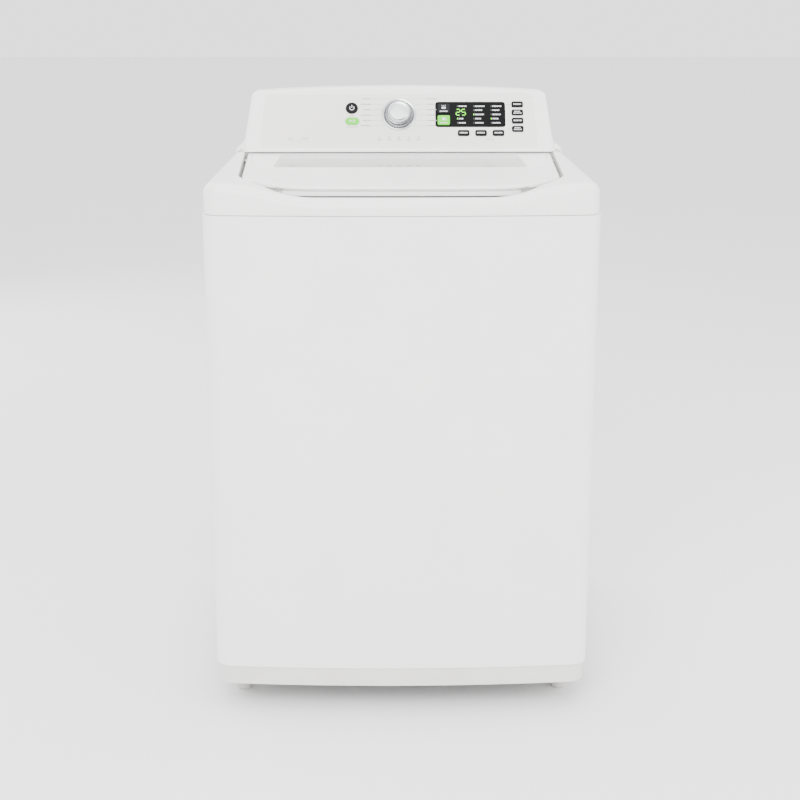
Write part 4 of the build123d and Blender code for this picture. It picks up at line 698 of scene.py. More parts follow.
def screws_tree():
    """Domed screw heads with a cross of painted recess shade, facing +Y, one at each point."""
    tree, given = new_tree(
        "screw_heads",
        [("Radius", "float"), ("Height", "float"), ("Finish", "material"), ("Recess Shade", "material")],
    )
    out = given.outputs
    head = add_node(
        tree,
        "GeometryNodeMeshCone",
        None,
        {
            "Vertices": 14,
            "Radius Top": math(tree, "MULTIPLY", out["Radius"], 0.72),
            "Radius Bottom": out["Radius"],
            "Depth": out["Height"],
        },
    )
    painted = add_node(
        tree, "GeometryNodeSetMaterial", None, {"Geometry": head.outputs[0], "Material": out["Finish"]}
    )
    # the cross is a thin near-black sheet on the head: painted shade standing in for the cross recess
    arms = []
    long = math(tree, "MULTIPLY", out["Radius"], 1.1)
    thin = math(tree, "MULTIPLY", out["Radius"], 0.24)
    for size in ((long, thin), (thin, long)):
        box = add_node(
            tree,
            "ShaderNodeCombineXYZ",
            None,
            {0: size[0], 1: size[1], 2: 0.02 * MM},
        )
        arm = add_node(tree, "GeometryNodeMeshCube", None, {"Size": box.outputs[0]})
        arms.append(arm.outputs[0])
    cross = add_node(tree, "GeometryNodeJoinGeometry")
    for arm in arms:
        tree.links.new(arm, cross.inputs[0])
    lift = add_node(tree, "ShaderNodeCombineXYZ", None, {2: out["Height"]})
    raised = add_node(
        tree, "GeometryNodeTransform", None, {"Geometry": cross.outputs[0], "Translation": lift.outputs[0]}
    )
    dark = add_node(
        tree, "GeometryNodeSetMaterial", None, {"Geometry": raised.outputs[0], "Material": out["Recess Shade"]}
    )
    screw = add_node(tree, "GeometryNodeJoinGeometry")
    tree.links.new(painted.outputs[0], screw.inputs[0])
    tree.links.new(dark.outputs[0], screw.inputs[0])
    turned_out = add_node(
        tree, "GeometryNodeTransform", None, {"Geometry": screw.outputs[0], "Rotation": (-pi / 2, 0, 0)}
    )
    many = add_node(
        tree, "GeometryNodeInstanceOnPoints", None, {
            "Points": out["Geometry"], "Instance": turned_out.outputs[0]
        }
    )
    real = add_node(tree, "GeometryNodeRealizeInstances", None, {"Geometry": many.outputs[0]})
    add_node(tree, "NodeGroupOutput", None, {"Geometry": real.outputs[0]})
    return tree


def coil_tree():
    """A round wire wound into an upright coil on each point."""
    tree, given = new_tree(
        "wire_coil",
        [
            ("Coil Radius", "float"),
            ("Wire Radius", "float"),
            ("Height", "float"),
            ("Turns", "float"),
            ("Sides", "int"),
            ("Steps", "int"),
            ("Finish", "material"),
        ],
    )
    out = given.outputs
    path = add_node(
        tree,
        "GeometryNodeCurveSpiral",
        None,
        {
            "Resolution": out["Steps"],
            "Rotations": out["Turns"],
            "Start Radius": out["Coil Radius"],
            "End Radius": out["Coil Radius"],
            "Height": out["Height"],
        },
    )
    wire = add_node(
        tree,
        "GeometryNodeCurvePrimitiveCircle",
        None,
        {"Resolution": out["Sides"], "Radius": out["Wire Radius"]},
    )
    solid = add_node(
        tree, "GeometryNodeCurveToMesh", None, {
            "Curve": path.outputs[0], "Profile Curve": wire.outputs[0], "Fill Caps": True
        }
    )
    many = add_node(
        tree, "GeometryNodeInstanceOnPoints", None, {
            "Points": out["Geometry"], "Instance": solid.outputs[0]
        }
    )
    end_tree(tree, many.outputs[0], out["Finish"])
    return tree


def slots_tree():
    """Short round-ended louvres, lying along X and facing +Y, one at each point."""
    tree, given = new_tree(
        "louvres", [("Length", "float"), ("Width", "float"), ("Depth", "float"), ("Finish", "material")]
    )
    out = given.outputs
    rod = add_node(tree, "GeometryNodeMeshCylinder", None, {"Vertices": 10, "Radius": 0.5, "Depth": 1.0})
    lying = add_node(
        tree, "GeometryNodeTransform", None, {"Geometry": rod.outputs[0], "Rotation": (0, pi / 2, 0)}
    )
    size = add_node(
        tree, "ShaderNodeCombineXYZ", None, {0: out["Length"], 1: out["Depth"], 2: out["Width"]}
    )
    sized = add_node(
        tree, "GeometryNodeTransform", None, {"Geometry": lying.outputs[0], "Scale": size.outputs[0]}
    )
    many = add_node(
        tree, "GeometryNodeInstanceOnPoints", None, {
            "Points": out["Geometry"], "Instance": sized.outputs[0]
        }
    )
    end_tree(tree, many.outputs[0], out["Finish"])
    return tree


perforated_wall = perforated_wall_tree()
screw_heads = screws_tree()
wire_coil = coil_tree()
louvres = slots_tree()

# ------------------------------------------------------------------ shells from the frame
finish_of = {
    "cabinet_shell": enamel,
    "rear_panel": pressed_zinc,
    "rear_access_cover": pressed_zinc,
    "corner_brackets": pressed_zinc,
    "base_frame": base_moulding,
    "top_cover": white_abs,
    "mouth_ring": white_abs,
    "lid_frame": white_abs,
    "lid_liner": white_abs,
    "lid_grip_and_strike": white_abs,
    "lid_seal": pale_rubber,
    "lid_hinge_pins": zinc_plate,
    "lid_bumpers": pale_rubber,
    "lid_lock": grey_nylon,
    "console_shell": white_abs,
    "console_back": white_abs,
    "control_fascia": fascia_print,
    "display_window": black_panel,
    "control_board": circuit,
    "water_spout": grey_nylon,
    "pressure_switch": grey_nylon,
    "cord_gland": black_rubber,
    "suspension_rods": zinc_plate,
    "outer_tub": tub_plastic,
    "tub_ring": tub_plastic,
    "balance_ring": tub_plastic,
    "basket_hub": cast_metal,
    "wash_plate": tub_plastic,
    "drive_shaft": zinc_plate,
    "gearcase": cast_metal,
    "bearings": zinc_plate,
    "motor_pulley": cast_metal,
    "drive_pulley": cast_metal,
    "drive_belt": black_rubber,
    "drain_pump": grey_nylon,
    "power_button": dark_cap,
    "start_button": green_cap,
    "mode_key_upper": grey_cap,
    "mode_key_lower": green_cap,
}
key_nodes = sorted(n for n in frame["nodes"] if n.startswith(("option_key", "setting_key")))
finish_of.update({node: dark_cap for node in key_nodes})
for node, finish in finish_of.items():
    smooth_copy(node, finish, body_of_node[node])

# -------------------- lid glass: clear window in a white painted border
glass_low, glass_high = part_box("lid_glass")
glass_outline_data = frame["nodes"]["lid_glass"].data
top_points = [v.co for v in glass_outline_data.vertices if v.co.z > glass_high.z - 0.1 * MM]
glass_middle = Vector((0, (glass_low.y + glass_high.y) / 2, 0))
rim_points = sorted(
    {(round(p.x, 6), round(p.y, 6)) for p in top_points},
    key=lambda p: atan2(p[1] - glass_middle.y, p[0]),
)


def outline_at_angle(outline, angle):
    """Where a ray from the glass's middle leaves an outline."""
    d = Vector((cos(angle), sin(angle)))
    best = None
    for (x0, y0), (x1, y1) in zip(outline, outline[1:] + outline[:1]):
        a = Vector((x0, y0 - glass_middle.y))
        e = Vector((x1 - x0, y1 - y0))
        cross = d.x * e.y - d.y * e.x
        if abs(cross) < 1e-12:
            continue
        reach = (a.x * e.y - a.y * e.x) / cross
        along = (a.x * d.y - a.y * d.x) / cross
        if reach > 0 and -1e-3 <= along <= 1.001 and (best is None or reach > best):
            best = reach
    return (d.x * best, d.y * best + glass_middle.y)


plate_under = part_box("lid_liner")[1].z  # the liner meets the plate of the frame here
window_points = [
    v.co
    for v in frame["nodes"]["lid_frame"].data.vertices
    if abs(v.co.z - plate_under) < 0.1 * MM and glass_low.y + 2 * MM < v.co.y < glass_high.y - 2 * MM
]
inside = [p for p in window_points if abs(p.x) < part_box("lid_liner")[1].x - 30 * MM]
inner_half = max(p.x for p in inside)
inner_front, inner_back = min(p.y for p in inside), max(p.y for p in inside)
window_line = round_rect(
    0, (inner_front + inner_back) / 2, 2 * inner_half, inner_back - inner_front, 10 * MM, 6
)
corner_angles = sorted({atan2(y - glass_middle.y, x) for x, y in window_line + rim_points})
spokes = sorted(set(corner_angles) | {tau * k / 160 - pi for k in range(160)})
border_outer = [outline_at_angle(rim_points, a) for a in spokes]
border_inner = [outline_at_angle(window_line, a) for a in spokes]
piece_from_mesh(
    "lid_glass_border",
    joined("lid_glass_border", [ring_slab(border_outer, border_inner, glass_low.z, glass_high.z, upright)]),
    back_painted,
    "lid",
)
piece_from_mesh(
    "lid_glass_window",
    joined("lid_glass_window", [prism(border_inner, glass_low.z, glass_high.z, upright)]),
    window_glass,
    "lid",
    ["lid_glass"],
)

# ------------------------------------------------------------------ dial
cap = face_span("knob_cap")
skirt = face_span("knob_skirt")
bezel = face_span("knob_bezel")
cap_r, skirt_r, bezel_r = cap[1], skirt[1], bezel[1]
spun_cap = spun("dial_cap_spun_aluminium", "#E4E5E7", "#D2D4D6", on_face(0, 0, cap[4]), 0.24)
spun_skirt = spun("dial_skirt_smoked_chrome", "#8B8D90", "#6F7174", on_face(0, 0, cap[4]), 0.22)
cap_foot = skirt[4]
cap_line = [
    (0, cap[4] - 1.0 * MM),
    (cap_r - 9 * MM, cap[4] - 0.9 * MM),
    (cap_r - 5.5 * MM, cap[4] - 0.3 * MM),
    (cap_r - 4.5 * MM, cap[4]),
    (cap_r - 3.4 * MM, cap[4] - 0.3 * MM),
    (cap_r - 1.4 * MM, cap[4] - 2.6 * MM),
    (cap_r - 0.4 * MM, cap[4] - 5.0 * MM),
    (cap_r, cap[4] - 7.0 * MM),
    (cap_r, cap_foot),
    (0, cap_foot),
]
piece_from_mesh(
    "dial_cap", joined(
        "dial_cap", [turned(cap_line, 96, on_face)]
    ), spun_cap, "knob", ["knob_cap"], 40
)
flutes = []
flute_count = 48
skirt_foot = film_top + 1.0 * MM
for level, size in ((skirt_foot, skirt_r), (skirt[4] - 1.2 * MM, skirt_r), (skirt[4], cap_r + 0.4 * MM)):
    flutes.append(
        [
            (
                (size - (0.55 * MM if k % 4 in (2, 3) else 0.0)) * cos(tau * k / (4 * flute_count)),
                (size - (0.55 * MM if k % 4 in (2, 3) else 0.0)) * sin(tau * k / (4 * flute_count)),
                level,
            )
            for k in range(4 * flute_count)
        ]
    )
n = 4 * flute_count
skirt_verts = [on_face(*p) for ring in flutes for p in ring]
skirt_faces = [
    (
        r * n + k, r * n + (k + 1) % n, (r + 1) * n + (k + 1) % n, (r + 1) * n + k
    ) for r in range(2) for k in range(n)
]
skirt_faces += [tuple(range(n)), tuple(range(2 * n, 3 * n))]
piece_from_mesh(
    "dial_skirt", mesh_of(
        "dial_skirt", skirt_verts, skirt_faces
    ), spun_skirt, "knob", ["knob_skirt"], 25
)
bezel_bore = skirt_r + 1.0 * MM
bezel_line = [
    (bezel_bore, film_top),
    (bezel_bore, film_top + 1.2 * MM),
    (bezel_bore + 2.4 * MM, film_top + 0.9 * MM),
    (bezel_bore + 3.6 * MM, film_top + 1.9 * MM),
    (bezel_r - 3.2 * MM, bezel[4] - 0.3 * MM),
    (bezel_r - 2.4 * MM, bezel[4]),
    (bezel_r - 1.0 * MM, bezel[4] - 0.4 * MM),
    (bezel_r, bezel[4] - 1.6 * MM),
    (bezel_r, film_top),
]
piece_from_mesh(
    "dial_bezel",
    joined("dial_bezel", [turned(bezel_line, 96, on_face, closed=True)]),
    bright_trim,
    "cabinet",
    ["knob_bezel"],
    40,
)
# a dark metal ring on the floor of the bezel's groove: painted shade of the groove
groove_shade_line = [
    (bezel_bore + 0.3 * MM, film_top + 1.15 * MM),
    (bezel_bore + 0.3 * MM, film_top + 1.35 * MM),
    (bezel_bore + 2.3 * MM, film_top + 1.1 * MM),
    (bezel_bore + 2.3 * MM, film_top + 0.8 * MM),
]
piece_from_mesh(
    "dial_groove_shade",
    joined("dial_groove_shade", [turned(groove_shade_line, 96, on_face, closed=True)]),
    groove_shade_trim,
    "cabinet",
)
light_r = bezel_bore + 2.6 * MM
light_angle = radians(63)
marks(
    "dial_pointer_light",
    [circle(light_r * cos(light_angle), light_r * sin(light_angle), 1.7 * MM, 14)],
    film_top + 1.9 * MM,
    lamp_on,
    "cabinet",
    "green_key",
    0.3 * MM,
)

# ------------------------------------------------------------------ printed fascia
foot_v = fascia[2]  # the film's lower edge


def label(u, v, width, height=2.6):
    """Outlines of a word-like row of small blocks, middle at (u, v) in mm above the film's lower edge."""
    blocks, left, k = [], -width / 2, 0
    while left < width / 2 - 0.6:
        long = min((2.6, 1.7, 3.4, 2.1)[(k + int(abs(u * 3 + v))) % 4], width / 2 - left)
        x = u + left + long / 2
        blocks.append(
            [
                ((x + sx * long / 2) * MM, (v + sy * height / 2) * MM + foot_v)
                for sx, sy in ((-1, -1), (1, -1), (1, 1), (-1, 1))
            ]
        )
        left += long + 0.7
        k += 1
    return blocks


def face_line(u0, v0, u1, v1, width):
    """Outline of a printed line, in mm above the film's lower edge."""
    return line_mark(u0 * MM, v0 * MM + foot_v, u1 * MM, v1 * MM + foot_v, width * MM)


def face_round(u, v, width, height, radius):
    """Outline of a rounded mark, in mm above the film's lower edge."""
    return round_rect(u * MM, v * MM + foot_v, width * MM, height * MM, radius * MM, 4)


dial_v = -foot_v / MM
rows = [dial_v + d for d in (34.7, 22.5, 10.3, -1.8, -14.0, -25.5)]
leaders, names = [], []
ring_clear = bezel_r / MM + 2.5
for k, v in enumerate(rows):
    rise = abs(v - dial_v)
    inner = (ring_clear**2 - rise**2) ** 0.5 if rise < ring_clear - 1 else 20.0
    for side in (-1, 1):
        reach = max(inner, 12.0)
        wide = (17, 21, 15, 19, 16, 20)[(k + (side > 0)) % 6]
        leaders.append(face_line(side * reach, v, side * 56, v, 0.55))
        names += label(side * (58 + wide / 2), v, wide, 2.4)
marks("dial_leader_lines", leaders, film_top, grey_ink, "cabinet", "fascia_film")
marks("dial_programme_bars", names, film_top, grey_ink, "cabinet", "fascia_film")

power = face_span("power_button")
start = face_span("start_button")
captions = label((power[0] + power[1]) / 2 / MM, (power[2] - foot_v) / MM - 3.2, 13, 1.8)
captions += label((start[0] + start[1]) / 2 / MM, (start[2] - foot_v) / MM - 3.4, 25, 1.9)
dots = []
for k in range(5):
    u = -40 + 20 * k
    dots.append(face_round(u, 22.5, 3.4, 1.7, 0.8))
    captions += label(u, 17.0, 9.5, 2.0)
captions += label(187, 18, 15, 1.8)
captions += [face_line(183.5, 22.0, 187, 24.6, 0.5), face_line(187, 24.6, 190.5, 22.0, 0.5)]
marks("fascia_caption_bars", captions, film_top, grey_ink, "cabinet", "fascia_film")
marks("fascia_indicator_lamps", dots, film_top, lamp_off, "cabinet", "fascia_film", 0.15 * MM)
corner_marks = [face_round(-222, 18.5, 11, 9, 1.2)] + label(-197, 15.2, 26, 2.3)
marks("fascia_corner_marks", corner_marks, film_top, pale_ink, "cabinet", "fascia_film")
marks("fascia_corner_bar", label(-192, 20.2, 12, 2.2), film_top, green_ink, "cabinet", "fascia_film")

# lamps beside the setting keys; the second is lit
setting_lamps = []
for k in range(4):
    low_u, high_u, low_v, high_v, _ = face_span(f"setting_key_{k + 1}")
    setting_lamps.append(circle(low_u - 4.6 * MM, (low_v + high_v) / 2, 1.1 * MM, 12))
marks(
    "setting_lamps_off",
    [setting_lamps[k] for k in (0, 2, 3)],
    film_top,
    lamp_off,
    "cabinet",
    "fascia_film",
    0.15 * MM,
)
marks("setting_lamp_on", [setting_lamps[1]], film_top, lamp_on, "cabinet", "green_key", 0.2 * MM)

# ------------------------------------------------------------------ display
show = face_span("display_window")
show_u, show_v = show[0], show[2]
show_w, show_h = show[1] - show[0], show[3] - show[2]


def in_show(x, y):
    """A place in the display, in shares of its size, as mm over the film's lower edge."""
    return (show_u + x * show_w) / MM, (show_v + y * show_h - foot_v) / MM


row_shares = (0.825, 0.67, 0.5, 0.336, 0.17)
lamps, lamps_on, words = [], [], []
columns = ((0.318, (0, 3, 4), 3, 17), (0.55, (0, 1, 2, 3, 4), 2, 20), (0.798, (0, 1, 2, 3, 4), 3, 19))
for share, filled, glowing, longest in columns:
    for row in filled:
        u, v = in_show(share, row_shares[row])
        lamp = face_round(u, v, 1.5, 3.2, 0.4)
        (lamps_on if row == glowing else lamps).append(lamp)
        wide = longest - (0, 5, 2, 7, 3)[row]
        words += label(u + 2.6 + wide / 2, v, wide, 2.8)
marks("display_lamps_off", lamps, film_top, lamp_off, "cabinet", "black_gloss")
marks("display_lamps_on", lamps_on, film_top, lamp_on, "cabinet", "green_key")
marks("display_word_bars", words, film_top, pale_ink, "cabinet", "black_gloss")


def segment(u, v, size, which):
    """Outline of one bar of a seven-bar digit, (u, v) its lower left corner, size its width, in mm."""
    tall, thick = size * 1.75, size * 0.17
    flat = {0: 1.0, 6: 0.5, 3: 0.0}
    if which in flat:
        y = v + flat[which] * tall
        return face_line(u + thick, y, u + size - thick, y, thick)
    x = u + (size if which in (1, 2) else 0)
    low = v + (tall / 2 if which in (1, 5) else 0)
    return face_line(x, low + thick * 0.7, x, low + tall / 2 - thick * 0.7, thick)


digit_on, digit_off = [], []
for place, lit_bars in ((0.3, (0, 1, 6, 4, 3)), (0.378, (0, 5, 6, 2, 3))):
    u, v = in_show(place, 0.47)
    for which in range(7):
        (digit_on if which in lit_bars else digit_off).append(segment(u, v, 7.6, which))
marks("display_digits", digit_on, film_top, lamp_on, "cabinet", "green_key")
marks("display_digits_unlit", digit_off, film_top, digit_dim, "cabinet", "black_gloss", 0.03 * MM)

# ------------------------------------------------------------------ key legends
for node in key_nodes:
    low_u, high_u, low_v, high_v, top = face_span(node)
    u, v = (low_u + high_u) / 2 / MM, ((low_v + high_v) / 2 - foot_v) / MM
    if node in ("setting_key_2", "setting_key_4"):
        legend = label(u, v + 1.9, 13, 2.2) + label(u, v - 1.9, 16, 2.2)
    else:
        legend = label(u, v, 16, 2.8)
    marks("legend_" + node, legend, top, pale_ink, node, "dark_key")

for node, ink in (("mode_key_upper", pale_ink), ("mode_key_lower", pale_ink)):
    low_u, high_u, low_v, high_v, top = face_span(node)
    u, v = (low_u + high_u) / 2 / MM, ((low_v + high_v) / 2 - foot_v) / MM
    icon = label(u, v - 6.6, 16, 2.2)
    if node.endswith("upper"):
        icon += [face_round(u, v + 1.0, 9.0, 4.0, 1.8)]
        icon += [face_line(u + d, v + 4.2, u + d * 1.7, v + 7.2, 0.9) for d in (-2.4, 0.01, 2.4)]
    else:
        icon += [circle(u * MM, (v + 2.4) * MM + foot_v, 3.6 * MM, 18)]
        icon += [face_line(u + 3.4, v - 0.2, u + 6.4, v + 2.0, 1.4)]
    marks("legend_" + node, icon, top, ink, node, "dark_key")

# power sign: a broken ring with a stroke through its gap
pu, pv = (power[0] + power[1]) / 2, (power[2] + power[3]) / 2
arc = [(pu + 5.2 * MM * cos(radians(a)), pv + 5.2 * MM * sin(radians(a))) for a in range(128, 413, 15)]
arc += [(pu + 3.7 * MM * cos(radians(a)), pv + 3.7 * MM * sin(radians(a))) for a in range(412, 127, -15)]
n = len(arc) // 2
arc_quads = [[arc[k], arc[k + 1], arc[2 * n - 2 - k], arc[2 * n - 1 - k]] for k in range(n - 1)]
stroke = round_rect(pu, pv + 3.6 * MM, 1.5 * MM, 6.0 * MM, 0.5 * MM, 3)
marks("legend_power_button", arc_quads + [stroke], power[4], pale_ink, "power_button", "dark_key")

# start and pause sign: a triangle and two bars
su, sv = (start[0] + start[1]) / 2, (start[2] + start[3]) / 2
sign = [
    [(su - 5.4 * MM, sv - 3.2 * MM), (su - 0.4 * MM, sv), (su - 5.4 * MM, sv + 3.2 * MM)],
    round_rect(su + 1.9 * MM, sv, 1.4 * MM, 6.4 * MM, 0.3 * MM, 2),
    round_rect(su + 4.6 * MM, sv, 1.4 * MM, 6.4 * MM, 0.3 * MM, 2),
]
marks("legend_start_button", sign, start[4], pale_ink, "start_button", "green_key")

# ------------------------------------------------------------------ perforated basket
basket_low, basket_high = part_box("basket")
basket_r = (basket_high.x - basket_low.x) / 2
basket_y = (basket_high.y + basket_low.y) / 2
wall = grown(
    "basket_wall",
    perforated_wall,
    points_mesh([]),
    {
        "Columns": 54,
        "Rows": 16,
        "Radius": basket_r - 1.0 * MM,
        "Low": basket_low.z + 4 * MM,
        "High": basket_high.z,
        "Centre Y": basket_y,
        "Finish": stainless,
    },
)
place_piece("basket_wall", wall, "basket")
hub_bore = (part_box("drive_shaft")[1].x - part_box("drive_shaft")[0].x) / 2 + 1.0 * MM
floor_line = [
    (hub_bore, basket_low.z),
    (basket_r - 4 * MM, basket_low.z),
    (basket_r - 1.2 * MM, basket_low.z + 1.2 * MM),
    (basket_r, basket_low.z + 4 * MM),
    (basket_r, basket_low.z + 6 * MM),
    (basket_r - 1.2 * MM, basket_low.z + 6 * MM),
    (basket_r - 1.4 * MM, basket_low.z + 4 * MM),
    (basket_r - 4 * MM, basket_low.z + 1.2 * MM),
    (hub_bore, basket_low.z + 1.2 * MM),
]
drum_place = at((0, basket_y, 0), (0, 0, 1))
piece_from_mesh(
    "basket_floor",
    joined("basket_floor", [turned(floor_line, 120, drum_place, closed=True)]),
    stainless,
    "basket",
    ["basket"],
)

# ------------------------------------------------------------------ suspension springs
spring_low, spring_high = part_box("suspension_springs")
spring_points = [v.co for v in frame["nodes"]["suspension_springs"].data.vertices]
rod_spots = []
for side_x in (-1, 1):
    for side_y in (-1, 1):
        near = [p for p in spring_points if p.x * side_x > 0 and (p.y - basket_y) * side_y > 0]
        xs, ys = [p.x for p in near], [p.y for p in near]
        rod_spots.append(((min(xs) + max(xs)) / 2, (min(ys) + max(ys)) / 2, (max(xs) - min(xs)) / 2))
wire_r = 2.0 * MM
coils = grown(
    "suspension_coils",
    wire_coil,
    points_mesh([(x, y, spring_low.z + wire_r) for x, y, _ in rod_spots]),
    {
        "Coil Radius": rod_spots[0][2] - wire_r,
        "Wire Radius": wire_r,
        "Height": spring_high.z - spring_low.z - 2 * wire_r,
        "Turns": 8.0,
        "Sides": 8,
        "Steps": 24,
        "Finish": spring_wire,
    },
)
coils.shade_smooth()
coil_piece = bpy.data.objects.new("suspension_coils", coils)
bpy.context.scene.collection.objects.link(coil_piece)
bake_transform(coil_piece)
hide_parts("suspension_springs")

# ------------------------------------------------------------------ screws of the rear panel
panel_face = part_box("rear_panel")
foot_nodes = sorted(n for n in frame["nodes"] if n.startswith("foot_"))
foot_axes = [(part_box(n)[0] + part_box(n)[1]) / 2 for n in foot_nodes]
nut_reach = 12 * MM  # the lock nuts share the screws' node, and lie this near to a foot's axis
screw_points = [
    v.co
    for v in frame["nodes"]["fasteners"].data.vertices
    if all(hypot(v.co.x - a.x, v.co.y - a.y) > nut_reach for a in foot_axes)
]
screw_spots = []
for p in screw_points:
    known = next((s for s in screw_spots if (s[0] - p.x) ** 2 + (s[1] - p.z) ** 2 < (12 * MM) ** 2), None)
    if known is None:
        screw_spots.append([p.x, p.z, p.x, p.x, p.z, p.z, p.y])
        known = screw_spots[-1]
    known[2], known[3] = min(known[2], p.x), max(known[3], p.x)
    known[4], known[5] = min(known[4], p.z), max(known[5], p.z)
    known[6] = max(known[6], p.y)
screw_r = max(s[3] - s[2] for s in screw_spots) / 2
head_height = 2.2 * MM
# each head carries a cross of painted recess shade
heads = grown(
    "rear_screw_heads",
    screw_heads,
    points_mesh([((s[2] + s[3]) / 2, s[6] - head_height, (s[4] + s[5]) / 2) for s in screw_spots]),
    {"Radius": screw_r, "Height": head_height, "Finish": zinc_plate, "Recess Shade": shadow_black},
)
place_piece("rear_screw_heads", heads, "cabinet", ["fasteners"])

# ------------------------------------------------------------------ louvres of the console's back
back_low, back_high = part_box("console_back")
louvre_spots = [
    (
        side * 175 * MM + (k - 5) * 15 * MM, back_high.y, back_low.z + 62 * MM
    ) for side in (-1, 1) for k in range(11)
]
# the slots are thin near-black bars of painted shade standing in for the openings
vents = grown(
    "console_vent_slot_shade",
    louvres,
    points_mesh(louvre_spots),
    {"Length": 4.0 * MM, "Width": 42 * MM, "Depth": 0.5 * MM, "Finish": shadow_black},
)
place_piece("console_vent_slot_shade", vents, "cabinet")

# -------------------- drain hose, ribbed up its rise and plain from the bend to its end
hose_points = [v.co for v in frame["nodes"]["drain_hose"].data.vertices]
hose_low, hose_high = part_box("drain_hose")
hose_r = (hose_high.x - hose_low.x) / 2
hose_x = (hose_low.x + hose_high.x) / 2
hose_top = hose_high.z - hose_r
rise_y = min(p.y for p in hose_points) + hose_r
bend_r = 32 * MM
line = [
    Vector((hose_x, rise_y, hose_low.z + k * 1.5 * MM)) for k in range(
        int((hose_top - bend_r - hose_low.z) / (1.5 * MM))
    )
]
line += [
    Vector((hose_x, rise_y + bend_r - bend_r * cos(a), hose_top - bend_r + bend_r * sin(a)))
    for a in (pi / 2 * k / 30 for k in range(31))
]
line += [
    Vector((hose_x, y, hose_top)) for y in (rise_y + bend_r + 2 * MM, hose_high.y - 22 * MM, hose_high.y)
]
sizes = []
for k, point in enumerate(line):
    ribbed = point.y < rise_y + bend_r - 1 * MM
    sizes.append(hose_r - (1.3 * MM * (0.5 + 0.5 * cos(k * tau / 4)) if ribbed else 0.0))
piece_from_mesh(
    "drain_hose_ribbed",
    joined("drain_hose_ribbed", [tube(line, sizes, 20)]),
    hose_vinyl,
    "cabinet",
    ["drain_hose"],
    50,
)
# a near-black disc just inside the hose's end: painted shade of its bore
mouth_shade_line = [
    (0, hose_high.y + 0.02 * MM),
    (hose_r - 3.1 * MM, hose_high.y + 0.02 * MM),
    (hose_r - 3.1 * MM, hose_high.y - 1 * MM),
    (0, hose_high.y - 1 * MM),
]
piece_from_mesh(
    "drain_hose_mouth_shade",
    joined("drain_hose_mouth_shade", [turned(mouth_shade_line, 24, at((hose_x, 0, hose_top), (0, 1, 0)))]),
    shadow_black,
    "cabinet",
)

# -------------------- water valve: block, coloured collars, threads, sieves
valve_low, valve_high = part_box("inlet_valve")
ports = {m["name"]: m for m in record["mounts"]}
port_r = ports["hot_inlet"]["dims"]["r_mm"] * MM
port_z = ports["hot_inlet"]["pos_m"][2]
block_back = panel_face[0].y - 2.0 * MM
valve_parts = [
    prism(
        round_rect(
            (valve_low.x + valve_high.x) / 2,
            port_z,
            valve_high.x - valve_low.x,
            valve_high.z - valve_low.z,
            6 * MM,
        ),
        -block_back,
        -valve_low.y,
        lambda x,
        y,
        z: Vector((x, -z, y)),
    )
]
for name in ("hot_inlet", "cold_inlet"):
    px = ports[name]["pos_m"][0]
    end_y = valve_high.y
    thread_line = [(port_r - 5.2 * MM, end_y), (port_r - 1.0 * MM, end_y)]
    y = end_y - 1.2 * MM
    while y > block_back + 8 * MM:
        thread_line += [(port_r - 1.1 * MM, y), (port_r, y - 0.6 * MM), (port_r - 1.1 * MM, y - 1.2 * MM)]
        y -= 1.9 * MM
    thread_line += [(port_r - 1.0 * MM, block_back), (port_r - 5.2 * MM, block_back)]
    put = at((px, 0, port_z), (0, 1, 0))
    valve_parts.append(turned(thread_line, 32, put, closed=True))
    collar = [
        (port_r, block_back - 1 * MM),
        (port_r + 2.8 * MM, block_back - 1 * MM),
        (port_r + 2.8 * MM, block_back + 3.4 * MM),
        (port_r, block_back + 3.4 * MM),
    ]
    piece_from_mesh(
        name + "_collar",
        joined(name + "_collar", [turned(collar, 32, put, closed=True)]),
        red_ring if name == "hot_inlet" else blue_ring,
        "cabinet",
    )
    sieve = [
        (0, end_y - 9 * MM),
        (port_r - 5.2 * MM, end_y - 9 * MM),
        (port_r - 5.2 * MM, end_y - 10 * MM),
        (0, end_y - 10 * MM),
    ]
    piece_from_mesh(
        name + "_sieve", joined(
            name + "_sieve", [turned(sieve, 24, put)]
        ), zinc_plate, "cabinet"
    )
piece_from_mesh(
    "inlet_valve_body", joined(
        "inlet_valve_body", valve_parts
    ), grey_nylon, "cabinet", ["inlet_valve"]
)

# -------------------- motor: windings between two cast end bells
motor_low, motor_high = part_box("motor")
motor_r = (motor_high.x - motor_low.x) / 2
motor_spot = ((motor_low.x + motor_high.x) / 2, (motor_low.y + motor_high.y) / 2, 0)
put = at(motor_spot, (0, 0, 1))
shaft_hole = (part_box("motor_pulley")[1].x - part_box("motor_pulley")[0].x) / 2 * 0.26
bells = [
    (shaft_hole, motor_low.z),
    (motor_r - 22 * MM, motor_low.z),
    (motor_r - 8 * MM, motor_low.z + 3 * MM),
    (motor_r, motor_low.z + 14 * MM),
    (motor_r, motor_low.z + 30 * MM),
    (motor_r - 4 * MM, motor_low.z + 30 * MM),
    (motor_r - 4 * MM, motor_high.z - 30 * MM),
    (motor_r, motor_high.z - 30 * MM),
    (motor_r, motor_high.z),
    (shaft_hole, motor_high.z),
]
piece_from_mesh(
    "motor_body", joined(
        "motor_body", [turned(bells, 48, put, closed=True)]
    ), cast_metal, "tub", ["motor"]
)
band = [
    (motor_r - 4 * MM, motor_low.z + 36 * MM),
    (motor_r - 1.5 * MM, motor_low.z + 39 * MM),
    (motor_r - 1.5 * MM, motor_high.z - 39 * MM),
    (motor_r - 4 * MM, motor_high.z - 36 * MM),
]
piece_from_mesh(
    "motor_winding", joined(
        "motor_winding", [turned(band, 48, put, closed=True)]
    ), copper_wire, "tub"
)

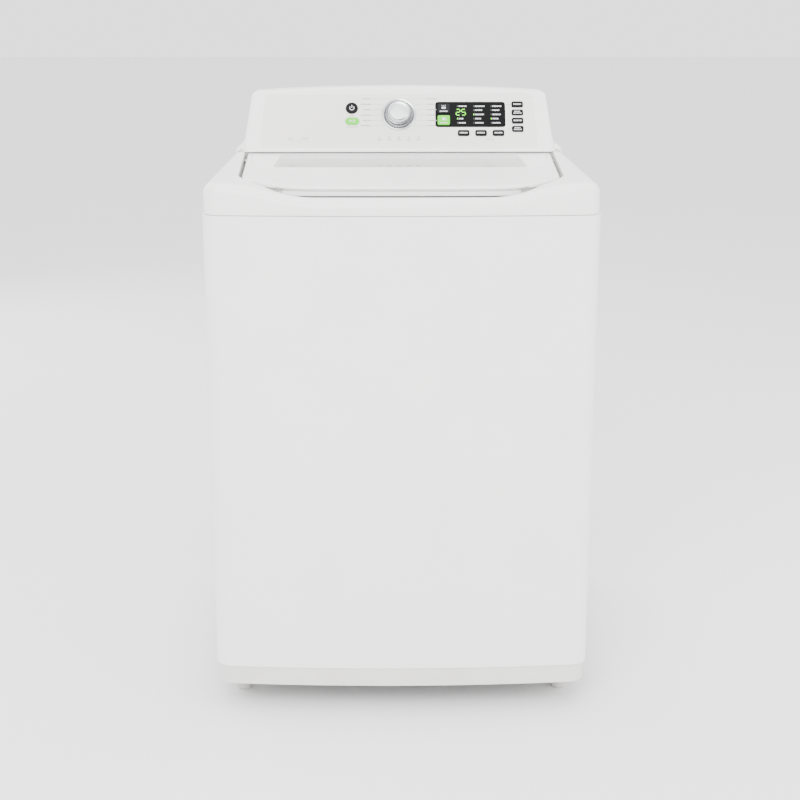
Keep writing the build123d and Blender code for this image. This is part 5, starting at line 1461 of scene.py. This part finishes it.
# -------------------- levelling feet with threaded stems
nut_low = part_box("base_frame")[1].z
nut_high = nut_low + 6 * MM
nut_r = 9.5 * MM
nut_bore = 5.1 * MM
hexagon_r = 10 * MM
for node in foot_nodes:
    low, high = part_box(node)
    spot = ((low.x + high.x) / 2, (low.y + high.y) / 2, 0)
    put = at(spot, (0, 0, 1))
    pad_r = (high.x - low.x) / 2
    pad = [
        (0, low.z),
        (pad_r - 3.0 * MM, low.z),
        (pad_r - 1.6 * MM, low.z + 0.4 * MM),
        (pad_r, low.z + 2.2 * MM),
        (pad_r, low.z + 12 * MM),
        (pad_r - 0.9 * MM, low.z + 14 * MM),
        (pad_r - 3.4 * MM, low.z + 16 * MM),
        (0, low.z + 16 * MM),
    ]
    hexagon = [(hexagon_r * cos(tau * k / 6), hexagon_r * sin(tau * k / 6)) for k in range(6)]
    piece_from_mesh(
        node + "_pad",
        joined(
            node + "_pad", [turned(pad, 40, put), prism(hexagon, low.z + 15.5 * MM, low.z + 28 * MM, put)]
        ),
        foot_moulding,
        node,
    )
    nut_line = [(nut_r * cos(tau * k / 6), nut_r * sin(tau * k / 6)) for k in range(6)]
    bore_line = [(nut_bore * cos(tau * k / 6), nut_bore * sin(tau * k / 6)) for k in range(6)]
    piece_from_mesh(
        node + "_lock_nut",
        joined(node + "_lock_nut", [ring_slab(nut_line, bore_line, nut_low, nut_high, put)]),
        zinc_plate,
        "cabinet",
    )
    stem = [(0, low.z + 27 * MM)]
    z = low.z + 27.5 * MM
    while z < high.z - 2.5 * MM:
        stem += [(4.3 * MM, z), (4.95 * MM, z + 0.6 * MM), (4.3 * MM, z + 1.2 * MM)]
        z += 1.6 * MM
    stem += [(4.2 * MM, high.z - 0.8 * MM), (3.2 * MM, high.z), (0, high.z)]
    piece_from_mesh(
        node + "_stem", joined(
            node + "_stem", [turned(stem, 20, put)]
        ), zinc_plate, node, [node]
    )

# ------------------------------------------------------------------ floor, light and camera
low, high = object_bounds()
middle = (low + high) / 2


def soft_light(name, place, target, size, power, tint="#FFFFFF"):
    """A square studio panel that faces a target."""
    data = bpy.data.lights.new(name, "AREA")
    data.shape = "RECTANGLE"
    data.size, data.size_y = size
    data.energy = power
    data.color = srgb(tint)[:3]
    panel = bpy.data.objects.new(name, data)
    panel.location = place
    panel.rotation_mode = "QUATERNION"
    panel.rotation_quaternion = (Vector(target) - Vector(place)).to_track_quat("-Z", "Y")
    bpy.context.scene.collection.objects.link(panel)


floor_material, floor_tree, floor_shader, floor_place = start_material(
    "floor_pale_paper", {"IOR": 1.4, "Specular IOR Level": 0.1}
)
set_inputs(
    floor_tree,
    floor_shader,
    Base_Color=blend_colours(floor_tree, noise(floor_tree, floor_place, 1.5, 2.0), "#F3F3F3", "#F1F1F1"),
    Roughness=spread(floor_tree, noise(floor_tree, floor_place, 0.4, 2.0), 0.85, 0.9),
)
floor_half = 30.0
floor_data = mesh_of(
    "floor",
    [
        (-floor_half, -floor_half, 0),
        (floor_half, -floor_half, 0),
        (floor_half, floor_half, 0),
        (-floor_half, floor_half, 0),
    ],
    [(0, 1, 2, 3)],
)
floor_data.materials.append(floor_material)
floor_piece = bpy.data.objects.new("floor", floor_data)
bpy.context.scene.collection.objects.link(floor_piece)

world = bpy.data.worlds.new("studio")
world.use_nodes = True
world.node_tree.nodes["Background"].inputs["Color"].default_value = srgb("#FFFFFF")
world.node_tree.nodes["Background"].inputs["Strength"].default_value = 2.2
bpy.context.scene.world = world
soft_light("key", (-1.1, -3.2, 2.9), (0, 0, 0.7), (2.6, 2.0), 170)
soft_light("top", (0.2, 0.2, 3.4), (0, 0, 0.9), (3.0, 3.0), 70)
soft_light("fill", (3.0, -1.6, 1.6), (0, 0, 0.6), (2.0, 2.4), 60)
soft_light("back", (-2.4, 2.8, 1.9), (0, 0.2, 0.7), (2.2, 2.2), 60)

camera_data = bpy.data.cameras.new("camera")
camera_data.sensor_width = 36
camera_data.lens = 65.5
camera_data.shift_y = -0.02
camera_data.clip_end = 100
camera = bpy.data.objects.new("camera", camera_data)
camera.location = (-0.026, -2.8, 1.28)
camera.rotation_euler = (radians(90 - 14.9), 0, radians(-0.53))
bpy.context.scene.collection.objects.link(camera)
bpy.context.scene.camera = camera
